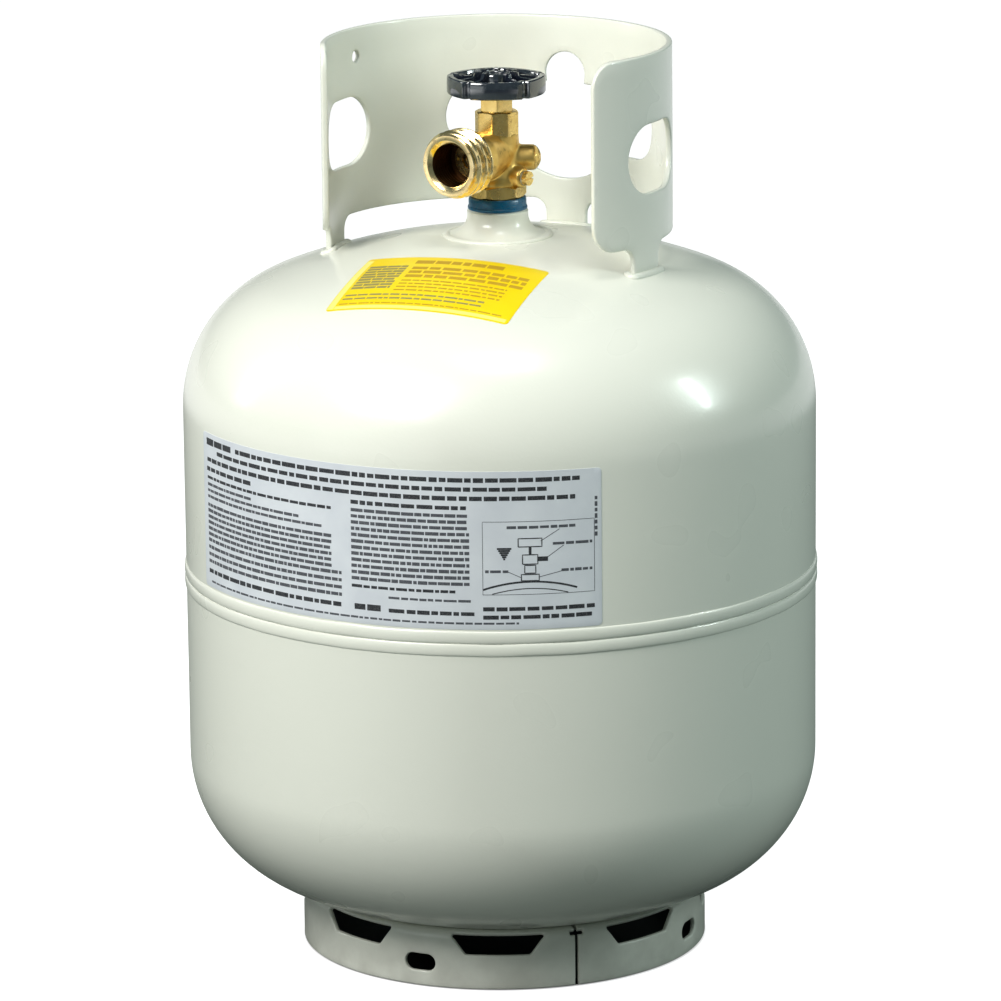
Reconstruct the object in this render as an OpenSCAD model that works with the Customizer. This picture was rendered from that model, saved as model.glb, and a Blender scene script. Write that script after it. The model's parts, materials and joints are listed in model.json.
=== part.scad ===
// Refillable steel propane cylinder of the 20 lb size, with its guard collar, foot ring
// and brass stop-fill valve.
// Origin: centre of the foot ring's bottom rim. +Z is up and -Y is the collar's open front.
// Lengths are in millimetres and angles in degrees. An azimuth is measured about +Z,
// from -Y towards +X. A "reach" is a distance from the valve's axis along an azimuth.

/* [Cylinder] */
// Outside diameter of the steel body
body_d = 311; // [306:1:316]
// Sheet thickness of the two shell halves
shell_t = 2.2; // [2:0.1:2.6]
// Height where the lower head's curve ends
lower_tangent_z = 98; // [96:0.5:100]
// Height where the upper head's curve begins
upper_tangent_z = 272; // [270:0.5:274]
// Crown radius of both heads
crown_r = 311; // [308:1:314]
// Knuckle radius of both heads
knuckle_r = 67; // [65:0.5:69]
// Height of the girth weld's middle
seam_z = 188.3; // [184:0.1:190]
// Proud height of the girth weld
seam_proud = 0.8; // [0.4:0.1:1.2]

/* [Collar] */
// Outside diameter of the collar
collar_d = 171.2; // [168:0.2:176]
// Sheet thickness of the collar
collar_t = 3; // [2.4:0.1:3.4]
// Height of the collar's top edge
collar_top_z = 450; // [446:1:456]
// Height of the collar's bottom edge between its legs
collar_bottom_z = 357.5; // [356.5:0.5:360]
// Angle of the collar's open front
collar_opening = 114; // [108:1:118]
// Azimuth of each front leg, either side of the front
front_leg_az = 82; // [80:1:84]
// Angular width of a leg
leg_width = 15; // [12:1:18]
// Height of the hand holes' centres
hand_hole_z = 399.3; // [397:0.1:402]
// Height of a hand hole
hand_hole_h = 33.6; // [30:0.2:36]

/* [Foot ring] */
// Outside diameter of the foot ring
foot_d = 200.6; // [198:0.2:204]
// Sheet thickness of the foot ring
foot_t = 2.6; // [2.2:0.1:3]
// Number of drain windows
window_count = 8; // [4:1:10]

/* [Labels] */
// Angular width of the paper label on the body
label_width = 84.5; // [60:0.5:90]
// Height of the paper label's lower edge
label_z = 195.4; // [195:0.1:200]
// Height of the paper label
label_h = 76.4; // [60:0.1:76.5]
// Thickness of both labels
label_t = 0.15; // [0.1:0.05:0.3]
// Width of the dome sticker
sticker_w = 93.5; // [80:0.5:100]
// Length of the dome sticker, from its inner edge outwards
sticker_h = 56; // [40:0.5:60]

/* [Valve] */
// Azimuth of the valve's outlet
valve_az = -9.5; // [-30:0.5:30]
// Height of the valve boss's top face
boss_top_z = 367.6; // [366.6:0.1:368.6]
// Major diameter of the outlet's outside thread
outlet_d = 33.34; // [33:0.01:34]
// Bore of the outlet
outlet_bore_d = 21.2; // [21:0.1:21.6]
// Reach of the outlet's face
outlet_reach = 42; // [41:0.5:44]
// Diameter of the handwheel
wheel_d = 48.8; // [44:0.2:54]
// Azimuth of one handwheel lobe
wheel_az = 24.5; // [0:0.5:72]
// Radial clearance of every running fit
running = 0.05; // [0.02:0.01:0.08]

/* [Hidden] */
$fn = 96;
fine_fn = 720;                 // for the large arcs of the heads

paint = [0.87, 0.87, 0.82];
brass = [0.80, 0.62, 0.28];
steel = [0.62, 0.63, 0.65];
dark_plastic = [0.09, 0.11, 0.15];
black_rubber = [0.07, 0.07, 0.07];
seal_blue = [0.05, 0.36, 0.52];
paper = [0.92, 0.93, 0.95];
sticker_yellow = [0.96, 0.85, 0.15];
acetal = [0.85, 0.84, 0.78];

eps = 0.5;                     // how far a cutter runs past the face it cuts
touch = 0.05;                  // gap between pieces that rest on each other

// Shell
body_r = body_d / 2;
knuckle_x = body_r - knuckle_r;
crown_drop = sqrt(pow(crown_r - knuckle_r, 2) - pow(knuckle_x, 2));
crown_half = atan2(knuckle_x, crown_drop);
middle_z = (lower_tangent_z + upper_tangent_z) / 2;
upper_crown_z = upper_tangent_z - crown_drop;
lower_crown_z = lower_tangent_z + crown_drop;
neck_hole_r = 19;
lip_gap = 0.15;
seam_gap = 4;
lip_h = 10;
function dome_z(r) = upper_crown_z + sqrt(pow(crown_r, 2) - pow(r, 2));
function belly_z(r) = lower_crown_z - sqrt(pow(crown_r, 2) - pow(r, 2));

// Collar
collar_r = collar_d / 2;
opening_half = collar_opening / 2;
leg_root_z = dome_z(collar_r) - 6;
leg_fillet = 9;
top_corner_r = 12.5;
bottom_corner_r = 14;
side_hole_az = 89;
side_hole_w = 50.8;
back_hole_w = 126;
lobe_r = 11;
lobe_z = hand_hole_z + 21.7;
sag_r = 32;
sag_z = hand_hole_z + 0.7;
tag_hole_d = 6;
tag_hole_az = -98.8;
tag_hole_z = collar_top_z - 14.5;
collar_bead_r = 2.4;

// Foot ring
foot_r = foot_d / 2;
curl_r = 4.5;
curl_x = foot_r - curl_r;
ring_seat_r = crown_r + touch;
curl_z = lower_crown_z - sqrt(pow(ring_seat_r + curl_r, 2) - pow(curl_x, 2));
flange_in_r = 88;
window_z = [17.3, 28];
window_w = [32, 49];
oval_z = 11.8;
oval_w = 16;
oval_h = 8.5;
foot_gap_az = 45;
foot_gap = 1.6;
foot_notch = [7, 2.4];

// Dome sticker
sticker_az = 2.5;
sticker_reach = 77.5;

// Valve boss
boss_r = 15;
boss_flare_r = 24.5;
flare_curve = boss_flare_r - boss_r;
boss_bottom_z = boss_top_z - 19.6;
boss_edge = 0.8;
boss_bead = 2;
shank_r = 12.5;

// Valve body, heights from the boss's top face
outlet_z = boss_top_z + 27.4;
shank_bottom_z = boss_top_z - 24.6;
base_hex_z = boss_top_z + 6;
base_hex_h = 6.4;
base_hex_w = 25;
base_hex_az = 42;
body_top_z = boss_top_z + 48.4;
trunk_r = 11.3;
head_z = boss_top_z + 36.4;
head_w = 20;
main_bore_r = 5.5;
seat_z = boss_top_z + 21.4;
seat_r = 4;
chamber_r = 7;
chamber_top_z = seat_z + 10;
spindle_r = 6;
pocket_z = boss_top_z + 40.9;
pocket_r = 8;
outlet_r = outlet_d / 2;
outlet_bore_r = outlet_bore_d / 2;
outlet_neck_r = 13.2;
outlet_thread_reach = 26;
outlet_step_reach = 24;
mouth_bevel = 1.7;

// Bonnet, stem and spindle
bonnet_w = 15.3;
bonnet_top_z = boss_top_z + 56.6;
stem_r = 4;
stem_flange_r = 7.4;
tang_w = 4;
tang_bottom_z = seat_z + 8.5;
tang_room = 3.5;               // room below the tang for the spindle's rise
wheel_square = 5;
stem_top_z = boss_top_z + 63.6;
ring_wire_r = 0.8;
ring_grooves = [boss_top_z + 46, boss_top_z + 50];
disc_t = 2.15;
spindle_top_z = seat_z + 16;
lock_pin_az = -55;
lock_pin_z = boss_top_z + 45;
lock_pin_r = 1.2;

// Handwheel
wheel_r = wheel_d / 2;
wheel_z = bonnet_top_z + 0.4;
wheel_h = 8.6;
wheel_rim = 4.2;
wheel_hub_r = 8;
lobe_count = 5;
rib_count = 10;
screw_r = 1.5;

// Outlet check, reaches along the outlet
check_pocket_r = 8.5;
check_floor = 12;
check_head = [18.4, 20.2];
check_ring = [21.5, 24.2];
check_nose_r = 3.6;
check_nose_end = 23.6;
check_seal_r = 6.4;

// Relief valve
relief_az = 124;
relief_z = boss_top_z + 25.1;
relief_boss_r = 6.3;
relief_face = 18.5;
relief_seat = 11.5;
relief_pocket_r = 4.6;
relief_end = 21.5;
relief_rod_r = 1.25;
channel_reach = 9.3;

// Bleed screw and dip tube
bleed_az = 90;
bleed_z = boss_top_z + 16.4;
bleed_boss_r = 5;
bleed_face = 15.5;
bleed_seat = 10.2;
bleed_thread_r = 2;
bleed_channel_r = 0.8;
bleed_jet_r = 0.5;
tube_socket = 10;
tube_r = 1.6;
tube_bottom_z = boss_top_z - 105;

// Stop-fill float
opd_r = 7.2;
opd_bore_r = 4.5;
opd_bottom_z = shank_bottom_z - 26;
opd_seat_z = shank_bottom_z - 7;
piston_top_z = opd_seat_z - 4;
piston_bottom_z = piston_top_z - 12;
piston_rod_r = 2.2;
pivot_z = shank_bottom_z - 34;
pin_r = 1.5;
arm_rest = 15;
cam_rest = 65;
arm_rod_r = 1.6;
float_r = 9;
float_span = [24, 60];

// Turns its children so that their -Y faces the azimuth az.
module facing(az) rotate([0, 0, az]) children();

// A round bar lying along -Y at height z, between two reaches.
module rod(r, from, to, z) translate([0, -from, z]) rotate([90, 0, 0]) cylinder(r = r, h = to - from);

// A tapered bar lying along -Y.
module cone_rod(r_from, r_to, from, to, z)
    translate([0, -from, z]) rotate([90, 0, 0]) cylinder(r1 = r_from, r2 = r_to, h = to - from);

// A cylinder about the main axis between two heights.
module post(r, z0, z1) translate([0, 0, z0]) cylinder(r = r, h = z1 - z0);

// A square bar about the main axis.
module square_post(w, z0, z1) translate([-w / 2, -w / 2, z0]) cube([w, w, z1 - z0]);

// A prism with the given width across its flats.
module flats_post(w, sides, z0, z1)
    translate([0, 0, z0]) cylinder(d = w / cos(180 / sides), h = z1 - z0, $fn = sides);

// A stretch of sheet metal ring between two azimuths.
module ring_sector(r_in, r_out, z0, z1, az0, az1)
    rotate([0, 0, az0 - 90]) rotate_extrude(angle = az1 - az0)
        translate([r_in, z0]) square([r_out - r_in, z1 - z0]);

// A tube about the main axis.
module tube(r_in, r_out, z0, z1) difference() {
    post(r_out, z0, z1);
    post(r_in, z0 - eps, z1 + eps);
}

// Half outline of the upper head and the wall down to the middle, grown by grow.
module head_outline(grow) {
    far = crown_r * 2;
    intersection() {
        translate([0, upper_crown_z]) circle(r = crown_r + grow, $fn = fine_fn);
        polygon([[0, upper_crown_z], [far * sin(crown_half), upper_crown_z + far * cos(crown_half)],
            [0, upper_crown_z + far]]);
    }
    translate([knuckle_x, upper_tangent_z]) circle(r = knuckle_r + grow, $fn = fine_fn);
    translate([0, middle_z]) square([body_r + grow, upper_tangent_z - middle_z]);
}

// Half outline of the steel sheet above the middle.
module sheet_outline() difference() {
    head_outline(0);
    head_outline(-shell_t);
    translate([0, middle_z - body_r]) square([body_r, body_r]);
}

// Solid bounded by the upper head's outside, used to trim what stands on it.
module dome_solid(grow = 0) rotate_extrude() intersection() {
    head_outline(grow);
    translate([0, middle_z]) square([body_d, body_d]);
}

module upper_shell() color(paint) rotate_extrude() difference() {
    sheet_outline();
    translate([0, seam_z - body_r]) square([body_d, body_r]);
    translate([0, upper_tangent_z]) square([neck_hole_r, body_r]);
}

// The lower half ends in a joggled lip that backs the girth weld.
module lower_shell() color(paint) rotate_extrude() {
    lip_r = body_r - shell_t - lip_gap;
    foot_of_lip = seam_z - seam_gap;
    difference() {
        translate([0, 2 * middle_z]) mirror([0, 1]) sheet_outline();
        translate([0, foot_of_lip]) square([body_d, body_r]);
    }
    intersection() {
        translate([0, foot_of_lip - body_r]) square([body_r, body_r]);
        translate([body_r - shell_t, middle_z - shell_t])
            square([shell_t, foot_of_lip - middle_z + shell_t]);
    }
    polygon([
        [body_r - shell_t, foot_of_lip - shell_t], [body_r, foot_of_lip], [lip_r, foot_of_lip + shell_t],
        [lip_r, foot_of_lip + lip_h], [lip_r - shell_t, foot_of_lip + lip_h],
        [lip_r - shell_t, foot_of_lip + shell_t / 2]
    ]);
}

// The weld fills the groove between the halves and stands proud in two low humps.
module girth_weld() color(paint) rotate_extrude() difference() {
    hump_half = 3.1;
    hump_r = (pow(hump_half, 2) + pow(seam_proud, 2)) / (2 * seam_proud);
    union() {
        for (side = [-1, 1])
            intersection() {
                translate([body_r + seam_proud - hump_r, seam_z + side * hump_half]) circle(r = hump_r);
                translate([body_r, seam_z - 2 * hump_half]) square([seam_proud, 4 * hump_half]);
            }
        polygon([
            [body_r, seam_z - seam_gap], [body_r, seam_z],
            [body_r - shell_t, seam_z], [body_r - shell_t - lip_gap, seam_z - seam_gap + shell_t]
        ]);
    }
}

module valve_boss() color(paint) rotate_extrude() difference() {
    translate([shank_r + running, boss_bottom_z])
        square([boss_flare_r - shank_r - running, boss_top_z - boss_bottom_z]);
    translate([boss_flare_r, dome_z(boss_flare_r) + flare_curve + boss_edge]) {
        circle(r = flare_curve);
        translate([-flare_curve, 0]) square([2 * flare_curve, body_r]);
    }
    intersection() {
        head_outline(0);
        translate([neck_hole_r - touch, boss_bottom_z - eps]) square([body_r, body_r]);
    }
}

// Fillet between the boss's rim and the head, resting on both.
module boss_weld() color(paint) rotate_extrude() translate([0, touch]) polygon([
    [boss_flare_r, dome_z(boss_flare_r)], [boss_flare_r + boss_bead, dome_z(boss_flare_r + boss_bead)],
    [boss_flare_r + boss_bead / 2, dome_z(boss_flare_r) + boss_edge / 2],
    [boss_flare_r, dome_z(boss_flare_r) + boss_edge]
]);

// Degrees of azimuth that an arc of the given length covers on the collar.
function collar_deg(arc) = arc / collar_r * 180 / PI;

// Cutter as deep as the collar sheet: a stretch between two azimuths and two heights.
module collar_slab(z0, z1, az0, az1)
    ring_sector(collar_r - collar_t - eps, collar_r + eps, z0, z1, az0, az1);

// Cutter as deep as the collar sheet: a round hole.
module collar_rod(r, z, az) facing(az) rod(r, collar_r * 0.8, collar_r + 2, z);

// Cutter that rounds a corner; corner is the azimuth of the edge, up is 1 for a top corner.
module collar_corner(r, z, az, up) difference() {
    collar_slab(up > 0 ? z - r : z - eps, up > 0 ? z + eps : z + r, az - 2, az + collar_deg(r));
    collar_rod(r, z - up * r, az + collar_deg(r));
}

// Cutter for the space between two legs. Its upper corners are rounded on each side named in
// rounds: -1 is the edge at az0 and 1 the edge at az1.
module collar_arch(az0, az1, rounds) difference() {
    inset = collar_deg(leg_fillet);
    fillet_z = collar_bottom_z - leg_fillet;
    collar_slab(leg_root_z - eps, collar_bottom_z, az0, az1);
    for (side = rounds) {
        az = side < 0 ? az0 : az1;
        far = az + side;
        near = az - side * inset;
        difference() {
            ring_sector(collar_r - collar_t - 2 * eps, collar_r + 2 * eps, fillet_z, collar_bottom_z + eps,
                min(far, near), max(far, near));
            collar_rod(leg_fillet, fillet_z, near);
        }
    }
}

// Cutter for an oblong hole of size w x h, punched straight inwards at azimuth az.
module oblong_hole(w, h, az) facing(az) translate([0, -collar_r * 0.8, hand_hole_z])
    rotate([90, 0, 0]) linear_extrude(collar_r * 0.2 + 2) {
        for (side = [-1, 1]) translate([side * (w - h) / 2, 0]) circle(r = h / 2);
        square([w - h, h], center = true);
    }

// Cutter for the long hole at the back, whose width w is measured round the collar.
module back_hole(w, az) {
    r = hand_hole_h / 2;
    half = collar_deg(w / 2 - r);
    for (side = [-1, 1]) collar_rod(r, hand_hole_z, az + side * half);
    collar_slab(hand_hole_z - r, hand_hole_z + r, az - half, az + half);
}

module collar() color(paint) difference() {
    ring_sector(collar_r - collar_t, collar_r, leg_root_z, collar_top_z, opening_half, 360 - opening_half);
    dome_solid();
    for (side = [0, 1]) mirror([side, 0, 0]) {
        collar_corner(top_corner_r, collar_top_z, opening_half, 1);
        collar_corner(bottom_corner_r, collar_bottom_z, opening_half, -1);
        collar_arch(opening_half - 3, front_leg_az - leg_width / 2, [1]);
        collar_arch(front_leg_az + leg_width / 2, 180 - leg_width / 2, [-1, 1]);
        oblong_hole(side_hole_w, hand_hole_h, side_hole_az);
    }
    back_hole(back_hole_w, 180);
    collar_rod(lobe_r, lobe_z, 180);
    intersection() {
        collar_rod(sag_r, sag_z, 180);
        collar_slab(collar_bottom_z, sag_z, 90, 270);
    }
    collar_rod(tag_hole_d / 2, tag_hole_z, tag_hole_az);
}

// Fillet beads on both faces of each leg's foot.
module collar_welds() color(paint) difference() {
    reach = leg_width / 2 + 2;
    for (az = [-front_leg_az, front_leg_az, 180], r = [collar_r + 1, collar_r - collar_t - 1])
        rotate([0, 0, az - reach - 90]) rotate_extrude(angle = 2 * reach)
            translate([r, dome_z(r)]) circle(r = collar_bead_r);
    dome_solid();
    tube(collar_r - collar_t, collar_r, leg_root_z - 20, collar_bottom_z);
}

// A rolled ring: wall, curled shoulder and a flange that follows the lower head.
module foot_ring() color(paint) difference() {
    rotate_extrude() {
        translate([foot_r - foot_t, 0]) square([foot_t, curl_z]);
        intersection() {
            translate([curl_x, curl_z]) difference() {
                circle(r = curl_r);
                circle(r = curl_r - foot_t);
            }
            polygon([
                [curl_x, curl_z], [curl_x + 2 * curl_r, curl_z], [curl_x + 2 * curl_r, curl_z + 2 * curl_r],
                [curl_x - 2 * curl_r * curl_x / (ring_seat_r + curl_r),
                    curl_z + 2 * curl_r * (lower_crown_z - curl_z) / (ring_seat_r + curl_r)]
            ]);
        }
        intersection() {
            translate([0, lower_crown_z]) difference() {
                circle(r = ring_seat_r + foot_t, $fn = fine_fn);
                circle(r = ring_seat_r, $fn = fine_fn);
            }
            polygon([
                [flange_in_r, 0], [flange_in_r, curl_z + 2 * curl_r],
                [curl_x - 2 * curl_r * curl_x / (ring_seat_r + curl_r),
                    curl_z + 2 * curl_r * (lower_crown_z - curl_z) / (ring_seat_r + curl_r)],
                [curl_x, curl_z], [curl_x, 0]
            ]);
        }
    }
    for (i = [0 : window_count - 1]) facing((i + 0.5) * 360 / window_count)
        translate([0, -foot_r + 2 * foot_t, 0]) rotate([90, 0, 0]) linear_extrude(3 * foot_t)
            polygon([[-window_w[0] / 2, window_z[0]], [window_w[0] / 2, window_z[0]],
                [window_w[1] / 2, window_z[1]], [-window_w[1] / 2, window_z[1]]]);
    for (az = [0 : 90 : 270]) facing(az) {
        oval_r = oval_h / 2;
        for (side = [-1, 1]) translate([side * (oval_w / 2 - oval_r), 0, 0])
            rod(oval_r, foot_r - 2 * foot_t, foot_r + eps, oval_z);
        translate([-oval_w / 2 + oval_r, -foot_r - eps, oval_z - oval_r])
            cube([oval_w - oval_h, 3 * foot_t, oval_h]);
    }
    facing(foot_gap_az) {
        translate([-foot_gap / 2, -foot_r - eps, -eps]) cube([foot_gap, foot_r / 4, 2 * curl_z]);
        translate([0, -foot_r - eps, window_z[1] - foot_notch[1]])
            cube([foot_notch[0], foot_t * 2, foot_notch[1]]);
    }
}

// Four short beads along the inner edge of the foot ring's flange.
module foot_ring_welds() color(paint) difference() {
    bead_half = 12;
    for (az = [0 : 90 : 270])
        rotate([0, 0, az - bead_half - 90]) rotate_extrude(angle = 2 * bead_half)
            translate([flange_in_r, belly_z(flange_in_r) - foot_t / 2]) circle(r = foot_t);
    tube(flange_in_r, flange_in_r + 2 * foot_t, 0, 2 * curl_z);
    translate([0, 0, lower_crown_z]) sphere(r = ring_seat_r, $fn = fine_fn / 2);
}

module info_label() color(paper)
    ring_sector(body_r, body_r + label_t, label_z, label_z + label_h, -label_width / 2, label_width / 2);

module dome_sticker() color(sticker_yellow) intersection() {
    difference() {
        dome_solid(label_t);
        dome_solid();
    }
    facing(sticker_az) translate([-sticker_w / 2, -sticker_reach - sticker_h / 2, upper_tangent_z])
        cube([sticker_w, sticker_h, body_r]);
}

module valve_body() color(brass) facing(valve_az) difference() {
    union() {
        post(shank_r, shank_bottom_z, base_hex_z + eps);
        rotate([0, 0, base_hex_az]) flats_post(base_hex_w, 6, base_hex_z, base_hex_z + base_hex_h);
        post(trunk_r, base_hex_z + base_hex_h - eps, head_z + eps);
        post(trunk_r + 0.7, base_hex_z + base_hex_h - eps, base_hex_z + base_hex_h + 3);
        rotate([0, 0, 22.5]) flats_post(head_w, 8, head_z, body_top_z);
        rod(outlet_neck_r, 0, outlet_thread_reach + eps, outlet_z);
        cone_rod(outlet_r, outlet_r - 1.2, outlet_reach - 1.2, outlet_reach, outlet_z);
        rod(outlet_r, outlet_thread_reach, outlet_reach - 1.2, outlet_z);
        facing(relief_az) rod(relief_boss_r, 0, relief_face, relief_z);
        facing(bleed_az) rod(bleed_boss_r, 0, bleed_face, bleed_z);
    }
    // Way up from the tank to the seat, the chamber, the spindle's thread and the bonnet's pocket.
    post(opd_r - 0.7, shank_bottom_z - eps, shank_bottom_z + 9);
    post(main_bore_r, shank_bottom_z - eps, seat_z - 2);
    post(seat_r, seat_z - 3, seat_z + eps);
    post(chamber_r, seat_z, chamber_top_z);
    post(spindle_r + running, chamber_top_z - eps, pocket_z + eps);
    post(pocket_r, pocket_z, body_top_z + eps);
    // Way out: passage, check pocket, outlet bore and bevelled mouth.
    rod(seat_r + 0.5, 0, check_floor + eps, outlet_z);
    rod(check_pocket_r, check_floor, outlet_step_reach + eps, outlet_z);
    rod(outlet_bore_r, outlet_step_reach, outlet_reach + eps, outlet_z);
    cone_rod(outlet_bore_r, outlet_bore_r + mouth_bevel, outlet_reach - mouth_bevel, outlet_reach, outlet_z);
    // Relief valve: channel, seat and pocket.
    facing(relief_az) {
        translate([0, -channel_reach, 0]) post(1.3, shank_bottom_z - eps, relief_z);
        rod(1.3, channel_reach, relief_seat + eps, relief_z);
        rod(relief_pocket_r, relief_seat, relief_face + eps, relief_z);
    }
    // Bleed: tube socket, channel, seat, screw hole and vent.
    facing(bleed_az) {
        translate([0, -channel_reach, 0]) {
            post(tube_r + running, shank_bottom_z - eps, shank_bottom_z + tube_socket);
            post(bleed_channel_r, shank_bottom_z + tube_socket - 1, bleed_z + eps);
        }
        rod(bleed_jet_r, channel_reach, bleed_seat + eps, bleed_z);
        rod(bleed_thread_r + running, bleed_seat, bleed_face + eps, bleed_z);
        translate([-bleed_boss_r - eps, -bleed_face + 2.4, bleed_z]) rotate([0, 90, 0])
            cylinder(r = 0.7, h = bleed_boss_r + eps);
    }
    facing(lock_pin_az) rod(lock_pin_r + running, pocket_r - 2, head_w, lock_pin_z);
}

module thread_seal() color(seal_blue) rotate_extrude()
    polygon([[shank_r + running, boss_top_z], [boss_r - 0.5, boss_top_z], [boss_r - 1, boss_top_z + 1.5],
        [boss_r - 1, base_hex_z - touch], [shank_r + running, base_hex_z - touch]]);

module bonnet_nut() color(brass) facing(valve_az) difference() {
    union() {
        post(pocket_r - running, pocket_z + 1.9, body_top_z + eps);
        rotate([0, 0, 4]) flats_post(bonnet_w, 6, body_top_z + touch, bonnet_top_z);
    }
    post(stem_r + running, pocket_z, bonnet_top_z + eps);
    facing(lock_pin_az) rod(lock_pin_r + running, pocket_r - 1.6, pocket_r + 2, lock_pin_z);
}

module bonnet_lock_pin() color(steel) facing(valve_az) facing(lock_pin_az)
    rod(lock_pin_r, pocket_r - 1.5, head_w / 2 - 0.6, lock_pin_z);

module stem() color(brass) facing(valve_az) difference() {
    union() {
        square_post(tang_w, tang_bottom_z, pocket_z + eps);
        post(stem_flange_r, pocket_z + touch, pocket_z + 1.7);
        post(stem_r, pocket_z + 1.5, bonnet_top_z + 0.2);
        square_post(wheel_square, bonnet_top_z, stem_top_z);
    }
    groove_half = ring_wire_r + touch;
    for (z = ring_grooves)
        tube(stem_r - 2 * ring_wire_r - touch, stem_r + eps, z - groove_half, z + groove_half);
    post(screw_r + running, stem_top_z - 9, stem_top_z + eps);
}

module stem_o_rings() color(black_rubber)
    for (z = ring_grooves) translate([0, 0, z])
        rotate_extrude() translate([stem_r - ring_wire_r, 0]) circle(r = ring_wire_r);

module handwheel() color(dark_plastic) difference() {
    facing(wheel_az) {
        difference() {
            translate([0, 0, wheel_z]) linear_extrude(wheel_h) difference() {
                circle(r = wheel_r);
                for (i = [0 : lobe_count - 1]) rotate((i + 0.5) * 360 / lobe_count)
                    translate([0, -wheel_r - 1]) circle(r = 2.6);
            }
            post(wheel_r - wheel_rim, wheel_z + 3.4, wheel_z + wheel_h + eps);
            difference() {
                post(wheel_r - wheel_rim, wheel_z - eps, wheel_z + 1.4);
                post(wheel_hub_r, wheel_z - 1, wheel_z + 2);
            }
        }
        post(wheel_hub_r, wheel_z + 1, wheel_z + wheel_h + 1);
        for (i = [0 : rib_count - 1]) rotate([0, 0, i * 360 / rib_count])
            translate([-0.9, -wheel_r + 1.5, wheel_z + 2]) cube([1.8, wheel_r - 2, wheel_h - 0.6]);
    }
    facing(valve_az) square_post(wheel_square + 2 * running, wheel_z - eps, stem_top_z + 0.3);
    post(screw_r + 0.3, wheel_z, wheel_z + wheel_h + 2);
    post(4.6, stem_top_z + 0.6, wheel_z + wheel_h + 2);
}

module handwheel_screw() color(steel) difference() {
    union() {
        post(screw_r, stem_top_z - 8, stem_top_z + 1);
        post(4, stem_top_z + 0.6 + touch, stem_top_z + 2.8);
    }
    translate([-0.5, -4.5, stem_top_z + 1.9]) cube([1, 9, 2]);
}

module lower_spindle() color(brass) facing(valve_az) difference() {
    union() {
        post(spindle_r - 1, seat_z + disc_t + touch, chamber_top_z + 1);
        post(spindle_r, chamber_top_z + 0.8, spindle_top_z);
    }
    square_post(tang_w + 0.3, tang_bottom_z - tang_room, spindle_top_z + eps);
}

module seat_disc() color(black_rubber) post(spindle_r - 1, seat_z + touch, seat_z + disc_t);

module check_retainer() color(brass) facing(valve_az) difference() {
    rod(check_pocket_r - running, check_ring[0], check_ring[1] - 0.3, outlet_z);
    rod(check_nose_r + 0.7, check_ring[0] - eps, check_ring[1], outlet_z);
    for (side = [-1, 1]) translate([side * 6.4 - 0.8, -check_ring[1], outlet_z - 0.8]) cube([1.6, 1.2, 1.6]);
}

module check_plunger() color(brass) facing(valve_az) {
    rod(2, check_floor + 1.5, check_head[0] + eps, outlet_z);
    rod(6.2, check_head[0], check_head[1], outlet_z);
    rod(check_nose_r, check_head[1] - eps, check_nose_end - 1.4, outlet_z);
    cone_rod(check_nose_r, check_nose_r - 1.4, check_nose_end - 1.4, check_nose_end, outlet_z);
}

module check_seal() color(black_rubber) facing(valve_az) difference() {
    rod(check_seal_r, check_head[1] + touch, check_ring[0] - touch, outlet_z);
    rod(check_nose_r + touch, check_head[1], check_ring[0], outlet_z);
}

// A round-wire helix about +Z with closed ends; r is its mean radius and h its overall height.
module coil(r, wire_r, h, turns) {
    sides = 8;
    steps = 16 * turns;
    rise = h - 2 * wire_r;
    points = [for (i = [0 : steps], k = [0 : sides - 1])
        let (a = i * 360 / 16, b = k * 360 / sides, q = r + wire_r * cos(b))
        [q * cos(a), q * sin(a), wire_r + rise * i / steps + wire_r * sin(b)]];
    walls = [for (i = [0 : steps - 1], k = [0 : sides - 1])
        [i * sides + k, (i + 1) * sides + k, (i + 1) * sides + (k + 1) % sides, i * sides + (k + 1) % sides]];
    start = [for (k = [0 : sides - 1]) k];
    end = [for (k = [sides - 1 : -1 : 0]) steps * sides + k];
    polyhedron(points = points, faces = concat(walls, [start], [end]), convexity = 4);
}

module check_spring() color(steel) facing(valve_az)
    translate([0, -check_floor - touch, outlet_z]) rotate([90, 0, 0])
        coil(5, 0.35, check_head[0] - check_floor - 2 * touch, 3);

module relief_retainer() color(brass) facing(valve_az) facing(relief_az) difference() {
    union() {
        rod(relief_pocket_r - running, 17, relief_face + eps, relief_z);
        intersection() {
            rod(relief_boss_r - 0.2, relief_face + touch, relief_end, relief_z);
            translate([0, -relief_end + 7.5, relief_z]) sphere(r = 7.5);
        }
    }
    rod(3.4, 17 - eps, 19.5, relief_z);
    rod(relief_rod_r + running, 19, relief_end + eps, relief_z);
    for (a = [45 : 90 : 315]) translate([2.6 * cos(a), 0, 2.6 * sin(a)])
        rod(0.6, 19, relief_end + eps, relief_z);
}

module relief_poppet() color(brass) facing(valve_az) facing(relief_az) {
    rod(3.8, relief_seat + 1, relief_seat + 2.7, relief_z);
    rod(relief_rod_r, relief_seat + 2.5, relief_end - 0.7, relief_z);
}

module relief_seal() color(black_rubber) facing(valve_az) facing(relief_az)
    rod(3.2, relief_seat + touch, relief_seat + 1 - touch, relief_z);

module relief_spring() color(steel) facing(valve_az) facing(relief_az)
    translate([0, -relief_seat - 2.7 - touch, relief_z]) rotate([90, 0, 0])
        coil(2.5, 0.3, 19.5 - relief_seat - 2.7 - 2 * touch, 5);

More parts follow.
